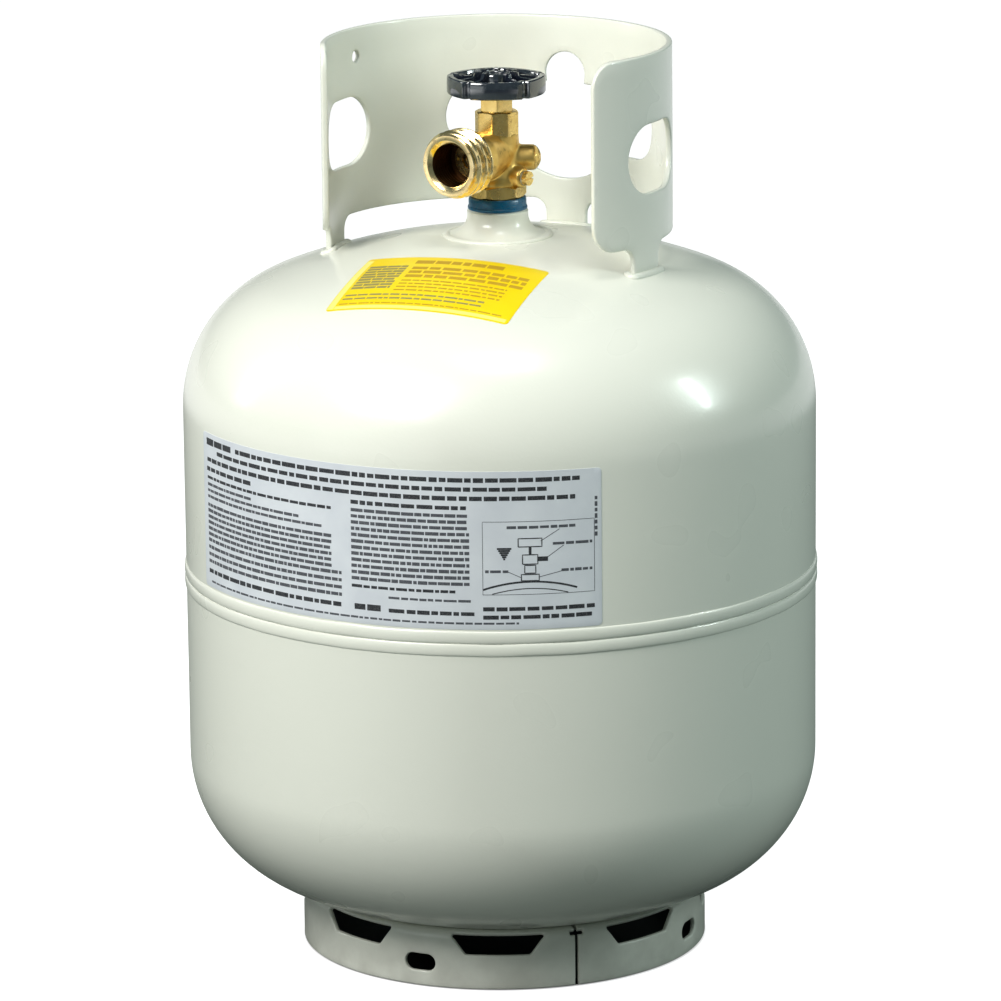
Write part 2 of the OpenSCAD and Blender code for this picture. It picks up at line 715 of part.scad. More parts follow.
module bleed_screw() color(brass) facing(valve_az) facing(bleed_az) difference() {
    union() {
        cone_rod(0.7, bleed_thread_r, bleed_seat + touch, bleed_seat + 1.2, bleed_z);
        rod(bleed_thread_r, bleed_seat + 1.2, bleed_face + 1.2, bleed_z);
        rod(3.5, bleed_face + 1 + touch, bleed_face + 3.4, bleed_z);
    }
    translate([-4, -bleed_face - 4, bleed_z - 0.5]) cube([8, 1.6, 1]);
}

module bleed_washer() color(steel) facing(valve_az) facing(bleed_az) difference() {
    rod(3.6, bleed_face + touch, bleed_face + 1, bleed_z);
    rod(bleed_thread_r + touch, bleed_face, bleed_face + 1.5, bleed_z);
}

module dip_tube() color(steel) facing(valve_az) facing(bleed_az) translate([0, -channel_reach, 0])
    tube(1, tube_r, tube_bottom_z, shank_bottom_z + tube_socket - 0.1);

// Cage of the stop-fill device: spigot, ported barrel and the two ears of the float's clevis.
module opd_housing() color(brass) facing(valve_az) difference() {
    union() {
        post(opd_r - 0.7 - running, shank_bottom_z - eps, shank_bottom_z + 8.9);
        post(opd_r, opd_bottom_z, shank_bottom_z - touch);
        for (side = [-1, 1]) translate([side * 4.4, 0, 0]) {
            translate([-1.1, -4, pivot_z]) cube([2.2, 8, opd_bottom_z - pivot_z + eps]);
            translate([-1.1, 0, pivot_z]) rotate([0, 90, 0]) cylinder(r = 4, h = 2.2);
        }
    }
    post(3, opd_seat_z - eps, shank_bottom_z + 9);
    post(opd_bore_r, opd_bottom_z - eps, opd_seat_z);
    for (az = [45 : 90 : 315]) facing(az) rod(1.4, 0, opd_r + eps, opd_seat_z - 1.8);
    translate([-6, 0, pivot_z]) rotate([0, 90, 0]) cylinder(r = pin_r + 0.02, h = 12);
}

module opd_piston() color(brass) {
    post(opd_bore_r - running, piston_bottom_z, piston_top_z);
    post(piston_rod_r, opd_bottom_z - 3.8, piston_bottom_z + eps);
}

module opd_seal() color(black_rubber) post(3.9, piston_top_z + touch, piston_top_z + 0.95);

// Lever of the float: hub on the pin, lifting cam and the rod out to the float.
module float_arm() color(acetal) facing(valve_az) translate([0, 0, pivot_z]) difference() {
    union() {
        translate([-3, 0, 0]) rotate([0, 90, 0]) cylinder(r = 3, h = 6);
        translate([-2, 3.6 * sin(cam_rest), 3.6 * cos(cam_rest)]) rotate([0, 90, 0]) cylinder(r = 2.4, h = 4);
        rotate([arm_rest, 0, 0]) translate([0, 0, -float_span[1] + 4])
            cylinder(r = arm_rod_r, h = float_span[1] - 5);
    }
    translate([-4, 0, 0]) rotate([0, 90, 0]) cylinder(r = pin_r + running, h = 8);
}

// Hollow sausage-shaped float, moulded around the rod.
module float() color(dark_plastic) facing(valve_az) translate([0, 0, pivot_z]) rotate([arm_rest, 0, 0])
    difference() {
        union() {
            translate([0, 0, -float_span[1] + float_r]) sphere(r = float_r);
            translate([0, 0, -float_span[0] - float_r]) sphere(r = float_r);
            translate([0, 0, -float_span[1] + float_r])
                cylinder(r = float_r, h = float_span[1] - float_span[0] - 2 * float_r);
        }
        translate([0, 0, -float_span[1] + 4 - touch]) cylinder(r = arm_rod_r + touch, h = float_span[1]);
    }

module float_pin() color(steel) facing(valve_az) translate([-5.5, 0, pivot_z]) rotate([0, 90, 0])
    cylinder(r = pin_r, h = 11);

upper_shell();
lower_shell();
girth_weld();
valve_boss();
boss_weld();
collar();
collar_welds();
foot_ring();
foot_ring_welds();
info_label();
dome_sticker();
valve_body();
thread_seal();
bonnet_nut();
bonnet_lock_pin();
stem();
stem_o_rings();
handwheel();
handwheel_screw();
lower_spindle();
seat_disc();
check_retainer();
check_plunger();
check_seal();
check_spring();
relief_retainer();
relief_poppet();
relief_seal();
relief_spring();
bleed_screw();
bleed_washer();
dip_tube();
opd_housing();
opd_piston();
opd_seal();
float_arm();
float();
float_pin();
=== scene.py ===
"""Looks of a refillable steel propane cylinder with its guard collar, foot ring and brass valve.

Lengths are in millimetres until mesh_object() turns them into metres. An azimuth is in degrees
about +Z, from -Y towards +X. The valve's stem shares the cylinder's axis, and a "reach" is a
distance from that axis along an azimuth.
"""

import json
import random
from math import asin, atan2, ceil, cos, dist, exp, hypot, pi, radians, sin, sqrt, tan
from math import degrees as in_degrees

import bmesh
import bpy
from mathutils import Matrix, Vector, noise
from mathutils.geometry import delaunay_2d_cdt

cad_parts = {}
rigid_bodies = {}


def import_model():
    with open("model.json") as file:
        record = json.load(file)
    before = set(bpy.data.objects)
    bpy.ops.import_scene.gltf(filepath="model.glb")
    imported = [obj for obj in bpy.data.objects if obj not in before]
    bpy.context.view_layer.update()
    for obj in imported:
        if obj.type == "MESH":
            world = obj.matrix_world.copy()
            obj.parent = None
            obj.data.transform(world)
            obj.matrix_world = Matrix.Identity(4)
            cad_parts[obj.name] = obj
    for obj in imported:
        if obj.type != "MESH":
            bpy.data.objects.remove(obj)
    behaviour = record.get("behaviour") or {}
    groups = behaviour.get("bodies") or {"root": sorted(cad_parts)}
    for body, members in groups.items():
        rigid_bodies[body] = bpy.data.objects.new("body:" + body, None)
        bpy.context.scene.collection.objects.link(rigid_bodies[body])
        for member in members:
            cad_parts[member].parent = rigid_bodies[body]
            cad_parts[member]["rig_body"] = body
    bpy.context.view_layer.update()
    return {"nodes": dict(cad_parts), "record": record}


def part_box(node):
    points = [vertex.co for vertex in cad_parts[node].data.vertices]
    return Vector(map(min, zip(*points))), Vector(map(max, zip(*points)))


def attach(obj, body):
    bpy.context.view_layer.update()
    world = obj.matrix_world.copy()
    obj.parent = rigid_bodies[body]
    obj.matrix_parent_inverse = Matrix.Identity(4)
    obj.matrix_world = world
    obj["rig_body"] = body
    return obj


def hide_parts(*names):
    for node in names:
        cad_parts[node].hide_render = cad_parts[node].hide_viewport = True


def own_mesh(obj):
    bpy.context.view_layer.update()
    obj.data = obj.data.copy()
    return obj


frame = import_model()

MM = 0.001
TAU = 2 * pi


def cad(node, corner, axis):
    """A coordinate of a CAD node's box in millimetres; corner is 0 for the lowest, 1 for the highest."""
    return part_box(node)[corner][axis] / MM


# ---- Sizes: the driving ones come from the frame ----

# Body
BODY_R = (cad("lower_shell", 1, 0) - cad("lower_shell", 0, 0)) / 2
SHELL_T = 2.2
LOWER_TANGENT = 98
UPPER_TANGENT = 272
CROWN_R = 311
KNUCKLE_R = 67
KNUCKLE_X = BODY_R - KNUCKLE_R
CROWN_DROP = sqrt((CROWN_R - KNUCKLE_R) ** 2 - KNUCKLE_X ** 2)
CROWN_HALF = atan2(KNUCKLE_X, CROWN_DROP)
UPPER_CROWN_Z = UPPER_TANGENT - CROWN_DROP
LOWER_CROWN_Z = LOWER_TANGENT + CROWN_DROP
NECK_R = 19
SEAM_Z = cad("upper_shell", 0, 2)
SEAM_HUMP = 3.1
SEAM_PROUD = 0.8
SEAM_GAP = 4
LIP_GAP = 0.15
LIP_H = 10
WAVE = 0.10                    # how far the drawn sheet strays

# Collar
COLLAR_R = (cad("collar", 1, 0) - cad("collar", 0, 0)) / 2
COLLAR_T = 3
COLLAR_TOP = cad("collar", 1, 2)
COLLAR_BOTTOM = COLLAR_TOP - 92.5
OPENING_HALF = 57
FRONT_LEG = 82
LEG_HALF = 7.5
HAND_Z = COLLAR_TOP - 50.7
HAND_H = 33.6
SIDE_HOLE_W = 50.8
SIDE_HOLE_AZ = 89
BACK_HOLE_W = 126
TAG_AZ = -98.8

# Foot ring
FOOT_R = (cad("foot_ring", 1, 0) - cad("foot_ring", 0, 0)) / 2
FOOT_T = 2.6
CURL_R = 4.5
CURL_X = FOOT_R - CURL_R
CURL_Z = LOWER_CROWN_Z - sqrt((CROWN_R + CURL_R) ** 2 - CURL_X ** 2)
FLANGE_R = 88
FOOT_GAP_AZ = 45
FOOT_GAP = 1.6

# Labels
PAPER_T = 0.15
PAPER_CORNER = 2
PAPER_HALF = 42.25
PAPER_Z0 = cad("info_label", 0, 2)
PAPER_Z1 = cad("info_label", 1, 2)
STICKER_AZ = 2.5
STICKER_W = 93.5
STICKER_NEAR = 49.5            # reach of its edge beside the valve
STICKER_FAR = STICKER_NEAR + 56

# Valve
VALVE_AZ = -9.5
BOSS_TOP = cad("valve_boss", 1, 2)
BOSS_R = 15
BOSS_FLARE_R = 24.5
SHANK_R = 12.5
SHANK_BOTTOM = BOSS_TOP - 24.6
HEX_Z = BOSS_TOP + 6
HEX_H = 6.4
OUTLET_Z = BOSS_TOP + 27.4
OUTLET_REACH = 42
OUTLET_R = 16.67
OUTLET_BORE = 10.6
HEAD_Z = BOSS_TOP + 36.4
BODY_TOP = cad("valve_body", 1, 2)
RELIEF_AZ = 124
RELIEF_Z = BOSS_TOP + 25.1
BLEED_AZ = 90
BLEED_Z = BOSS_TOP + 16.4
WHEEL_AZ = 24.5
WHEEL_Z = cad("handwheel", 0, 2)


# ---- Outlines ----

def evenly(start, end, count):
    """Values from start to end, both included, with count equal steps between them."""
    return [start + (end - start) * i / count for i in range(count + 1)]


def arc(cx, cy, r, start, end, steps):
    """Points on an arc, with the angles in radians from +x."""
    return [(cx + r * cos(a), cy + r * sin(a)) for a in evenly(start, end, steps)]


def rounded(corners, steps=6):
    """A closed outline from corners (x, y, radius); a corner with a radius becomes an arc."""
    points = []
    for i, (x, y, r) in enumerate(corners):
        here = Vector((x, y))
        if r <= 0:
            points.append((x, y))
            continue
        back = Vector(corners[i - 1][:2]) - here
        ahead = Vector(corners[(i + 1) % len(corners)][:2]) - here
        half = back.angle(ahead) / 2
        reach = min(r / tan(half), 0.49 * min(back.length, ahead.length))
        fit = reach * tan(half)
        centre = here + (back.normalized() + ahead.normalized()).normalized() * fit / sin(half)
        first = here + back.normalized() * reach - centre
        last = here + ahead.normalized() * reach - centre
        turn = first.angle_signed(last)
        for k in range(steps + 1):
            a = -turn * k / steps
            points.append((centre.x + first.x * cos(a) - first.y * sin(a),
                           centre.y + first.x * sin(a) + first.y * cos(a)))
    return points


def divided(a, b, step):
    """Points from a to just before b, no further apart than step."""
    count = max(1, ceil(dist(a, b) / step))
    return list(zip(evenly(a[0], b[0], count), evenly(a[1], b[1], count)))[:-1]


def resampled(loop, step):
    """The closed loop again with points no further apart than step."""
    return [p for a, b in zip(loop, loop[1:] + loop[:1]) for p in divided(a, b, step)]


def softened(loop, rounds):
    """The loop with its corners eased by repeated averaging of neighbours."""
    for _ in range(rounds):
        loop = [((loop[i - 1][0] + 2 * p[0] + loop[(i + 1) % len(loop)][0]) / 4,
                 (loop[i - 1][1] + 2 * p[1] + loop[(i + 1) % len(loop)][1]) / 4)
                for i, p in enumerate(loop)]
    return loop


def area_of(loop):
    """Signed area of a closed 2D loop."""
    return sum(a[0] * b[1] - b[0] * a[1] for a, b in zip(loop, loop[1:] + loop[:1])) / 2


# ---- Meshes ----

class Parts:
    """Gathers closed shells of one piece; each may have its own place and material slot."""

    def __init__(self):
        self.verts, self.faces, self.slots = [], [], []

    def add(self, shell, place=None, slot=0):
        verts, faces = shell
        base = len(self.verts)
        self.verts += [place @ Vector(v) for v in verts] if place else verts
        self.faces += [tuple(base + i for i in f) for f in faces]
        self.slots += [slot] * len(faces)
        return self


def mesh_object(name, parts, materials, crease=32):
    """A piece from millimetre shells. Edges sharper than crease degrees stay crisp."""
    if not isinstance(parts, Parts):
        parts = Parts().add(parts)
    mesh = bpy.data.meshes.new(name)
    mesh.from_pydata([Vector(v) * MM for v in parts.verts], [], parts.faces)
    mesh.polygons.foreach_set("material_index", parts.slots)
    for material in materials:
        mesh.materials.append(material)
    finish_mesh(mesh, crease)
    return linked(name, mesh)


def linked(name, data):
    """A new object in the scene."""
    made = bpy.data.objects.new(name, data)
    bpy.context.scene.collection.objects.link(made)
    return made


def finish_mesh(mesh, crease):
    """Merges points on an axis, turns the faces outwards and marks the sharp edges."""
    bm = bmesh.new()
    bm.from_mesh(mesh)
    bmesh.ops.remove_doubles(bm, verts=bm.verts, dist=0.0005 * MM)
    bmesh.ops.dissolve_degenerate(bm, edges=bm.edges, dist=0.0005 * MM)
    bmesh.ops.recalc_face_normals(bm, faces=bm.faces)
    for face in bm.faces:
        face.smooth = True
    for edge in bm.edges:
        edge.smooth = len(edge.link_faces) == 2 and edge.calc_face_angle() < radians(crease)
    bm.to_mesh(mesh)
    bm.free()


def polar(r, angle, z):
    """The point at a radius, an angle from -Y towards +X, and a height."""
    return r * sin(angle), -r * cos(angle), z


def turned_rings(count, ring_at, open_rings=False):
    """A skin over the rings of (radius, height) points that ring_at(angle) gives all round the axis."""
    verts, faces = [], []
    for i in range(count):
        a = TAU * i / count
        ring = ring_at(a)
        verts += [polar(r, a, z) for r, z in ring]
    n = len(ring)
    for i in range(count):
        j = (i + 1) % count
        faces += [(i * n + k, i * n + (k + 1) % n, j * n + (k + 1) % n, j * n + k)
                  for k in range(n - open_rings)]
    return verts, faces


def lathe(outline, segments, shape=None):
    """Turns a (radius, height) outline about +Z. shape(angle, r, z) may move each point."""
    on_axis = outline[0][0] == outline[-1][0] == 0
    return turned_rings(segments, lambda a: [shape(a, *p) for p in outline] if shape else outline, on_axis)


def prism(low, high):
    """A closed bar between two layers with the same number of points."""
    n = len(low)
    sides = [(k, (k + 1) % n, n + (k + 1) % n, n + k) for k in range(n)]
    return low + high, [tuple(range(n)), tuple(range(n, 2 * n))[::-1]] + sides


def flats_radius(angle, sides, width, corner):
    """Radius at an angle of a regular bar with rounded corners and a flat centred on angle 0."""
    half = pi / sides
    a = abs((angle + half) % (2 * half) - half)
    inner = (width / 2 - corner) / cos(half)
    if width / 2 * tan(a) <= inner * sin(half):
        return width / 2 / cos(a)
    d = half - a
    return inner * cos(d) + sqrt(max(corner ** 2 - (inner * sin(d)) ** 2, 0))


def flats_bar(width, sides, z0, z1, bore, corner=0.5, low=0.0, high=0.0):
    """A bored bar with flats. low and high are how far the turned chamfers reach down its corners."""
    edge, margin, slope = 0.25, 0.3, tan(radians(30))

    def ring(angle):
        r = flats_radius(angle, sides, width, corner)
        proud = (r - width / 2 + margin) * slope
        low_r = width / 2 - margin if low else r - edge
        high_r = width / 2 - margin if high else r - edge
        return [(bore, z0), (low_r, z0), (r, z0 + proud * low + edge * (not low)),
                (r, z1 - proud * high - edge * (not high)), (high_r, z1), (bore, z1)]

    return turned_rings(sides * 12, ring)


def along(azimuth, z, reach=0):
    """Place whose +Z points outwards along an azimuth, at height z and a reach from the axis."""
    a = radians(azimuth)
    side = Vector((cos(a), sin(a), 0))
    up = Vector((0, 0, 1))
    out = Vector(polar(1, a, 0))
    place = Matrix((side, up, out)).transposed().to_4x4()
    place.translation = out * reach + up * z
    return place


def turned(azimuth):
    """Place turned about +Z by an azimuth."""
    return Matrix.Rotation(radians(azimuth), 4, "Z")


def tube_along(path, section, closed=False):
    """A closed tube: path gives (point, side, up) per ring, and section(i) that ring's (x, y) points."""
    verts, faces = [], []
    rings = len(path)
    for i, (point, side, up) in enumerate(path):
        ring = section(i)
        n = len(ring)
        verts += [point + side * x + up * y for x, y in ring]
    for i in range(rings if closed else rings - 1):
        j = (i + 1) % rings
        faces += [(i * n + k, j * n + k, j * n + (k + 1) % n, i * n + (k + 1) % n) for k in range(n)]
    if not closed:
        faces += [tuple(range(n)), tuple(range((rings - 1) * n, rings * n))[::-1]]
    return verts, faces


def bead(points, normals, width, height, closed):
    """A weld bead along a path on a surface, with the ripples of the moving puddle."""
    path = []
    pitch = 1.7
    count = len(points)
    for i, p in enumerate(points):
        ahead = points[(i + 1) % count] if closed or i < count - 1 else p
        behind = points[i - 1] if closed or i > 0 else p
        tangent = (ahead - behind).normalized()
        path.append((p, normals[i].cross(tangent).normalized(), normals[i]))

    def section(i):
        ripple = 1 + 0.055 * sin(TAU * i / pitch * dist(points[0], points[1]))
        ripple += 0.10 * noise.noise(points[i] / 7)
        end = 1 if closed else min(1, sqrt(min(i, count - 1 - i) / 5 + 0.06))
        return [(width * ripple * end * cos(a), height * ripple * end * sin(a))
                for a in (TAU * k / 14 for k in range(14))]

    return tube_along(path, section, closed)


def inside(point, loops):
    """Whether a 2D point is inside an odd number of loops."""
    x, y = point
    odd = False
    for loop in loops:
        for (x0, y0), (x1, y1) in zip(loop, loop[1:] + loop[:1]):
            if (y0 > y) != (y1 > y) and x < x0 + (y - y0) / (y1 - y0) * (x1 - x0):
                odd = not odd
    return odd


def near(point, loops, gap):
    """Whether a 2D point is closer than gap to a point of the loops."""
    return any(abs(point[0] - q[0]) < gap and abs(point[1] - q[1]) < gap for loop in loops for q in loop)


def inset_loop(loop, by):
    """The loop moved sideways by a distance, to its left."""
    out = []
    n = len(loop)
    for i, p in enumerate(loop):
        along_edge = Vector(loop[(i + 1) % n]) - Vector(loop[i - 1])
        left = Vector((-along_edge.y, along_edge.x)).normalized()
        out.append((p[0] + left.x * by, p[1] + left.y * by))
    return out


def cut_sheet(outer, holes, columns, rows, wrap, thickness, edge):
    """Sheet metal cut to an outline with holes and bent by wrap(s, v, depth), with eased edges.

    columns and rows are the inner grid's s and v values, and depth runs from the outer face.
    """
    loops = [outer if area_of(outer) > 0 else outer[::-1]]
    loops += [h if area_of(h) < 0 else h[::-1] for h in holes]
    trimmed = [inset_loop(loop, edge) for loop in loops]
    points, edges = [], []
    for loop in trimmed:
        base = len(points)
        points += [Vector(p) for p in loop]
        edges += [(base + i, base + (i + 1) % len(loop)) for i in range(len(loop))]
    fixed = len(points)
    gap = 0.6 * min(abs(columns[1] - columns[0]), min(b - a for a, b in zip(rows, rows[1:])) * 2)
    for s in columns:
        for v in rows:
            if inside((s, v), trimmed) and not near((s, v), trimmed, gap):
                points.append(Vector((s, v)))
    flat, _, triangles, origin, _, _ = delaunay_2d_cdt(points, edges, [], 0, 1e-5)
    index = {}
    for new, sources in enumerate(origin):
        for source in sources:
            index[source] = new
    triangles = [t for t in triangles
                 if inside(tuple(sum((flat[i] for i in t), Vector((0, 0))) / 3), trimmed)]
    verts = [wrap(p.x, p.y, 0) for p in flat] + [wrap(p.x, p.y, thickness) for p in flat]
    count = len(flat)
    faces = [tuple(t) for t in triangles] + [tuple(count + i for i in reversed(t)) for t in triangles]
    quarter = [(edge * (1 - sin(a)), edge * (1 - cos(a)))
               for a in (pi / 2 * k / 3 for k in range(1, 4))]
    rim = quarter + [(inset, thickness - depth) for inset, depth in reversed(quarter)]
    base = 0
    for loop, cut in zip(loops, trimmed):
        n = len(loop)
        rings = [[index[base + i] for i in range(n)]]
        for inset, depth in rim:
            moved = inset_loop(loop, inset)
            rings.append(list(range(len(verts), len(verts) + n)))
            verts += [wrap(s, v, depth) for s, v in moved]
        rings.append([count + index[base + i] for i in range(n)])
        for a, b in zip(rings, rings[1:]):
            faces += [(a[i], b[i], b[(i + 1) % n], a[(i + 1) % n]) for i in range(n)]
        base += n
    assert base == fixed
    return verts, faces


# ---- The cylinder's surfaces ----

def head_z(r):
    """Height of the upper head's outside at a radius."""
    if r <= CROWN_R * sin(CROWN_HALF):
        return UPPER_CROWN_Z + sqrt(CROWN_R ** 2 - r ** 2)
    return UPPER_TANGENT + sqrt(max(KNUCKLE_R ** 2 - (r - KNUCKLE_X) ** 2, 0))


def head_slope(r):
    """Outward normal of the upper head at a radius, as (radial, upward)."""
    if r <= CROWN_R * sin(CROWN_HALF):
        return r / CROWN_R, sqrt(1 - (r / CROWN_R) ** 2)
    return (r - KNUCKLE_X) / KNUCKLE_R, sqrt(max(1 - ((r - KNUCKLE_X) / KNUCKLE_R) ** 2, 0))


def uneven(angle, r, z):
    """Moves a shell's point by the unevenness of drawn sheet; the seam and the neck stay round."""
    place = Vector((BODY_R * sin(angle), BODY_R * cos(angle), z + r / 2))
    wave = noise.noise(place / 62) * 0.7 + noise.noise(place / 23 + Vector((9, 4, 2))) * 0.3
    calm = min(1, abs(z - SEAM_Z) / 25) * min(1, max(r - 30, 0) / 30)
    offset = WAVE * calm * wave
    return r + offset * min(1, r / BODY_R), z + offset * (1 - min(1, r / BODY_R))


def round_noise(angle, size, z):
    """Noise that runs smoothly round the axis; a larger size makes it change faster."""
    return noise.noise(Vector((sin(angle) * size, cos(angle) * size, z)))


def body_patch(x, y, h):
    """Point of the body's wall: x along the girth from azimuth 0, y up and h outwards."""
    a = x / BODY_R
    r, z = uneven(a, BODY_R, y)
    return Vector(polar(r + h, a, z))


def dome_patch(x, y, h):
    """Point of the head below the sticker: x across, y outwards and h along the normal."""
    a = radians(STICKER_AZ)
    px = x * cos(a) + y * sin(a)
    py = x * sin(a) - y * cos(a)
    r = hypot(px, py)
    out, up = head_slope(r)
    angle = atan2(px, -py)
    moved_r, moved_z = uneven(angle, r, head_z(r))
    moved_r += out * h
    return Vector(polar(moved_r, angle, moved_z + up * h))


# ---- Materials ----

class Look:
    """A procedural material, with short calls for the nodes it needs."""

    def __init__(self, name, **values):
        self.material = bpy.data.materials.new(name)
        self.material.use_nodes = True
        self.tree = self.material.node_tree
        self.shader = self.tree.nodes["Principled BSDF"]
        self.place = self.node("TexCoord").outputs["Object"]
        for key, value in values.items():
            self.set(key.replace("_", " "), value)

    def node(self, kind, inputs=(), **settings):
        made = self.tree.nodes.new("ShaderNode" + kind)
        for key, value in settings.items():
            setattr(made, key, value)
        for key, value in dict(inputs).items():
            self.feed(made.inputs[key], value)
        return made

    def feed(self, socket, value):
        """Links a socket to an output, or sets it; a tuple is a colour."""
        if isinstance(value, bpy.types.NodeSocket):
            self.tree.links.new(value, socket)
        else:
            socket.default_value = (*value, 1) if isinstance(value, tuple) else value

    def set(self, key, value):
        self.feed(self.shader.inputs[key], value)

    def noise(self, size_mm, detail=2.0, stretch=(1, 1, 1), roughness=0.5):
        """Noise whose features measure about size_mm, stretched along the axes."""
        scaled = self.node("Mapping", {"Vector": self.place, "Scale": [1 / s for s in stretch]})
        return self.node("TexNoise", {
            "Vector": scaled.outputs[0], "Scale": 1 / (size_mm * MM), "Detail": detail,
            "Roughness": roughness}).outputs["Fac"]

    def spread(self, factor, low, high, at=(0.3, 0.7)):
        """Maps a factor between the at values to the range low to high."""
        return self.node("MapRange", {
            0: factor, "From Min": at[0], "From Max": at[1], "To Min": low, "To Max": high}).outputs[0]

    def blend(self, factor, a, b):
        """Mixes two colours."""
        return self.node("Mix", {0: factor, 6: a, 7: b}, data_type="RGBA").outputs[2]

    def height(self, axis=2):
        """One coordinate of the place, in millimetres."""
        parts = self.node("SeparateXYZ", {0: self.place})
        return self.math("MULTIPLY", parts.outputs[axis], 1 / MM)

    def math(self, operation, *values):
        return self.node("Math", dict(enumerate(values)), operation=operation).outputs[0]

    def bump(self, *layers):
        """Stacks bumps; each layer is (factor, depth in millimetres)."""
        normal = None
        for factor, depth in layers:
            inputs = {"Height": factor, "Distance": depth * MM, "Strength": 1.0}
            if normal:
                inputs["Normal"] = normal
            normal = self.node("Bump", inputs).outputs[0]
        self.set("Normal", normal)
        return self


def painted_steel():
    look = Look("painted_steel", IOR=1.5)
    patches = look.noise(60, 3)
    colour = look.blend(look.spread(patches, 0, 1, (0.15, 0.85)), (0.779, 0.789, 0.715),
                        (0.764, 0.774, 0.702))
    speck = look.spread(look.noise(2.2, 4, roughness=0.7), 0, 1, (0.72, 0.78))
    colour = look.blend(look.math("MULTIPLY", speck, 0.35), colour, (0.42, 0.40, 0.33))
    # Darker towards the bottom: below 46 mm the paint is mixed towards a dull grey-brown in noisy patches.
    low = look.spread(look.height(), 0.30, 0.0, (0, 46))
    darker_low_down = look.math("MULTIPLY", low, look.spread(look.noise(14, 5), 0.1, 1.0, (0.35, 0.65)))
    look.set("Base Color", look.blend(darker_low_down, colour, (0.33, 0.32, 0.27)))
    look.set("Roughness", look.spread(look.noise(35, 1), 0.265, 0.295, (0.1, 0.9)))
    look.set("Coat Weight", 0.25)
    look.set("Coat Roughness", 0.12)
    return look.bump((look.noise(1.3, 1.5), 0.028), (look.noise(5.5, 1), 0.035)).material


def brass(name, roughness, colour, lines=None):
    """Brass; lines is the axis (0, 1 or 2) along which a cutting tool left its marks."""
    look = Look(name, Metallic=1.0)
    tint = look.spread(look.noise(6, 3), 0, 1)
    darker = tuple(c * k for c, k in zip(colour, (0.86, 0.80, 0.68)))
    tone = look.blend(tint, colour, darker)
    grime = look.spread(look.noise(3.2, 2), 0, 0.45, (0.60, 0.76))
    look.set("Base Color", look.blend(grime, tone, (0.22, 0.12, 0.04)))
    look.set("Roughness", look.math("ADD", look.spread(look.noise(5, 2), roughness, roughness + 0.10),
                                    look.math("MULTIPLY", grime, 0.3)))
    if lines is None:
        return look.bump((look.noise(0.7, 1), 0.010), (look.noise(3, 1), 0.08)).material
    stretch = [1, 1, 1]
    stretch[lines] = 0.012
    marks = look.noise(24, 0, stretch=stretch)
    return look.bump((marks, 0.0012), (look.noise(4, 1), 0.008)).material


def moulded(name, colour, roughness, grain=0.012, ior=1.5, shine=0.5):
    """Moulded plastic or rubber with a fine grain and handling marks."""
    look = Look(name, IOR=ior, Specular_IOR_Level=shine)
    worn = look.spread(look.noise(3.5, 5), 0, 1, (0.45, 0.75))
    lighter = tuple(c * 1.5 + 0.012 for c in colour)
    look.set("Base Color", look.blend(look.math("MULTIPLY", worn, 0.5), colour, lighter))
    look.set("Roughness", look.spread(worn, roughness, roughness + 0.16, (0, 1)))
    return look.bump((look.noise(0.5, 2), grain), (look.noise(6, 1), 0.03)).material


def plated_steel():
    look = Look("plated_steel", Metallic=1.0)
    cloud = look.spread(look.noise(2.5, 4), 0, 1)
    look.set("Base Color", look.blend(cloud, (0.62, 0.63, 0.65), (0.50, 0.49, 0.46)))
    look.set("Roughness", look.spread(cloud, 0.26, 0.42, (0, 1)))
    return look.bump((look.noise(0.5, 3), 0.012)).material


def printed_sheet(name, colour, shade, roughness):
    """Label stock with faint mottling and soft dents."""
    look = Look(name)
    look.set("Base Color", look.blend(look.spread(look.noise(18, 4), 0, 1), colour, shade))
    look.set("Roughness", look.spread(look.noise(4, 2), roughness, roughness + 0.1))
    return look.bump((look.noise(9, 2), 0.05), (look.noise(0.4, 2), 0.006)).material


def ink(name, colour, roughness=0.5):
    """Printing ink with the uneven cover of a coarse print."""
    look = Look(name)
    cover = look.spread(look.noise(0.6, 2), 0, 0.3, (0.45, 0.75))
    look.set("Base Color", look.blend(cover, colour, tuple(min(1, c + 0.25) for c in colour)))
    look.set("Roughness", look.spread(cover, roughness, roughness + 0.1, (0, 0.3)))
    return look.bump((look.noise(0.8, 1), 0.004)).material


def thread_sealant():
    look = Look("thread_sealant_paste")
    swirl = look.noise(2.2, 3, stretch=(1, 1, 0.3))
    look.set("Base Color", look.blend(look.spread(swirl, 0, 1), (0.004, 0.13, 0.26), (0.002, 0.075, 0.16)))
    look.set("Roughness", look.spread(swirl, 0.22, 0.42))
    return look.bump((swirl, 0.12)).material


FINISHES = {
    "paint": painted_steel(),
    "brass_forging": brass("brass_forged_skin", 0.34, (0.86, 0.62, 0.22)),
    "brass_turned": brass("brass_turned_upright", 0.22, (0.88, 0.66, 0.27), 2),
    "handwheel_plastic": moulded("wheel_plastic", (0.009, 0.013, 0.024), 0.10, 0.004, 2.1, 0.7),
    "float_plastic": moulded("float_nylon", (0.015, 0.016, 0.018), 0.38),
    "rubber": moulded("nitrile_rubber", (0.012, 0.012, 0.012), 0.5, 0.03),
    "acetal": moulded("white_acetal", (0.62, 0.60, 0.54), 0.3),
    "steel": plated_steel(),
    "thread_sealant": thread_sealant(),
    "label_paper": printed_sheet("label_stock", (0.70, 0.73, 0.77), (0.63, 0.66, 0.71), 0.34),
    "sticker_film": printed_sheet("sticker_stock", (0.88, 0.69, 0.006), (0.86, 0.63, 0.004), 0.30),
}
TURNED_Y = brass("brass_turned_outlet", 0.17, (0.96, 0.79, 0.46), 1)
# Near-black brass for the inside of the outlet's bore: painted shade for the deep hole.
BORE_PAINTED_SHADE = brass("brass_bore_painted_shade", 0.34, (0.075, 0.036, 0.014), 1)
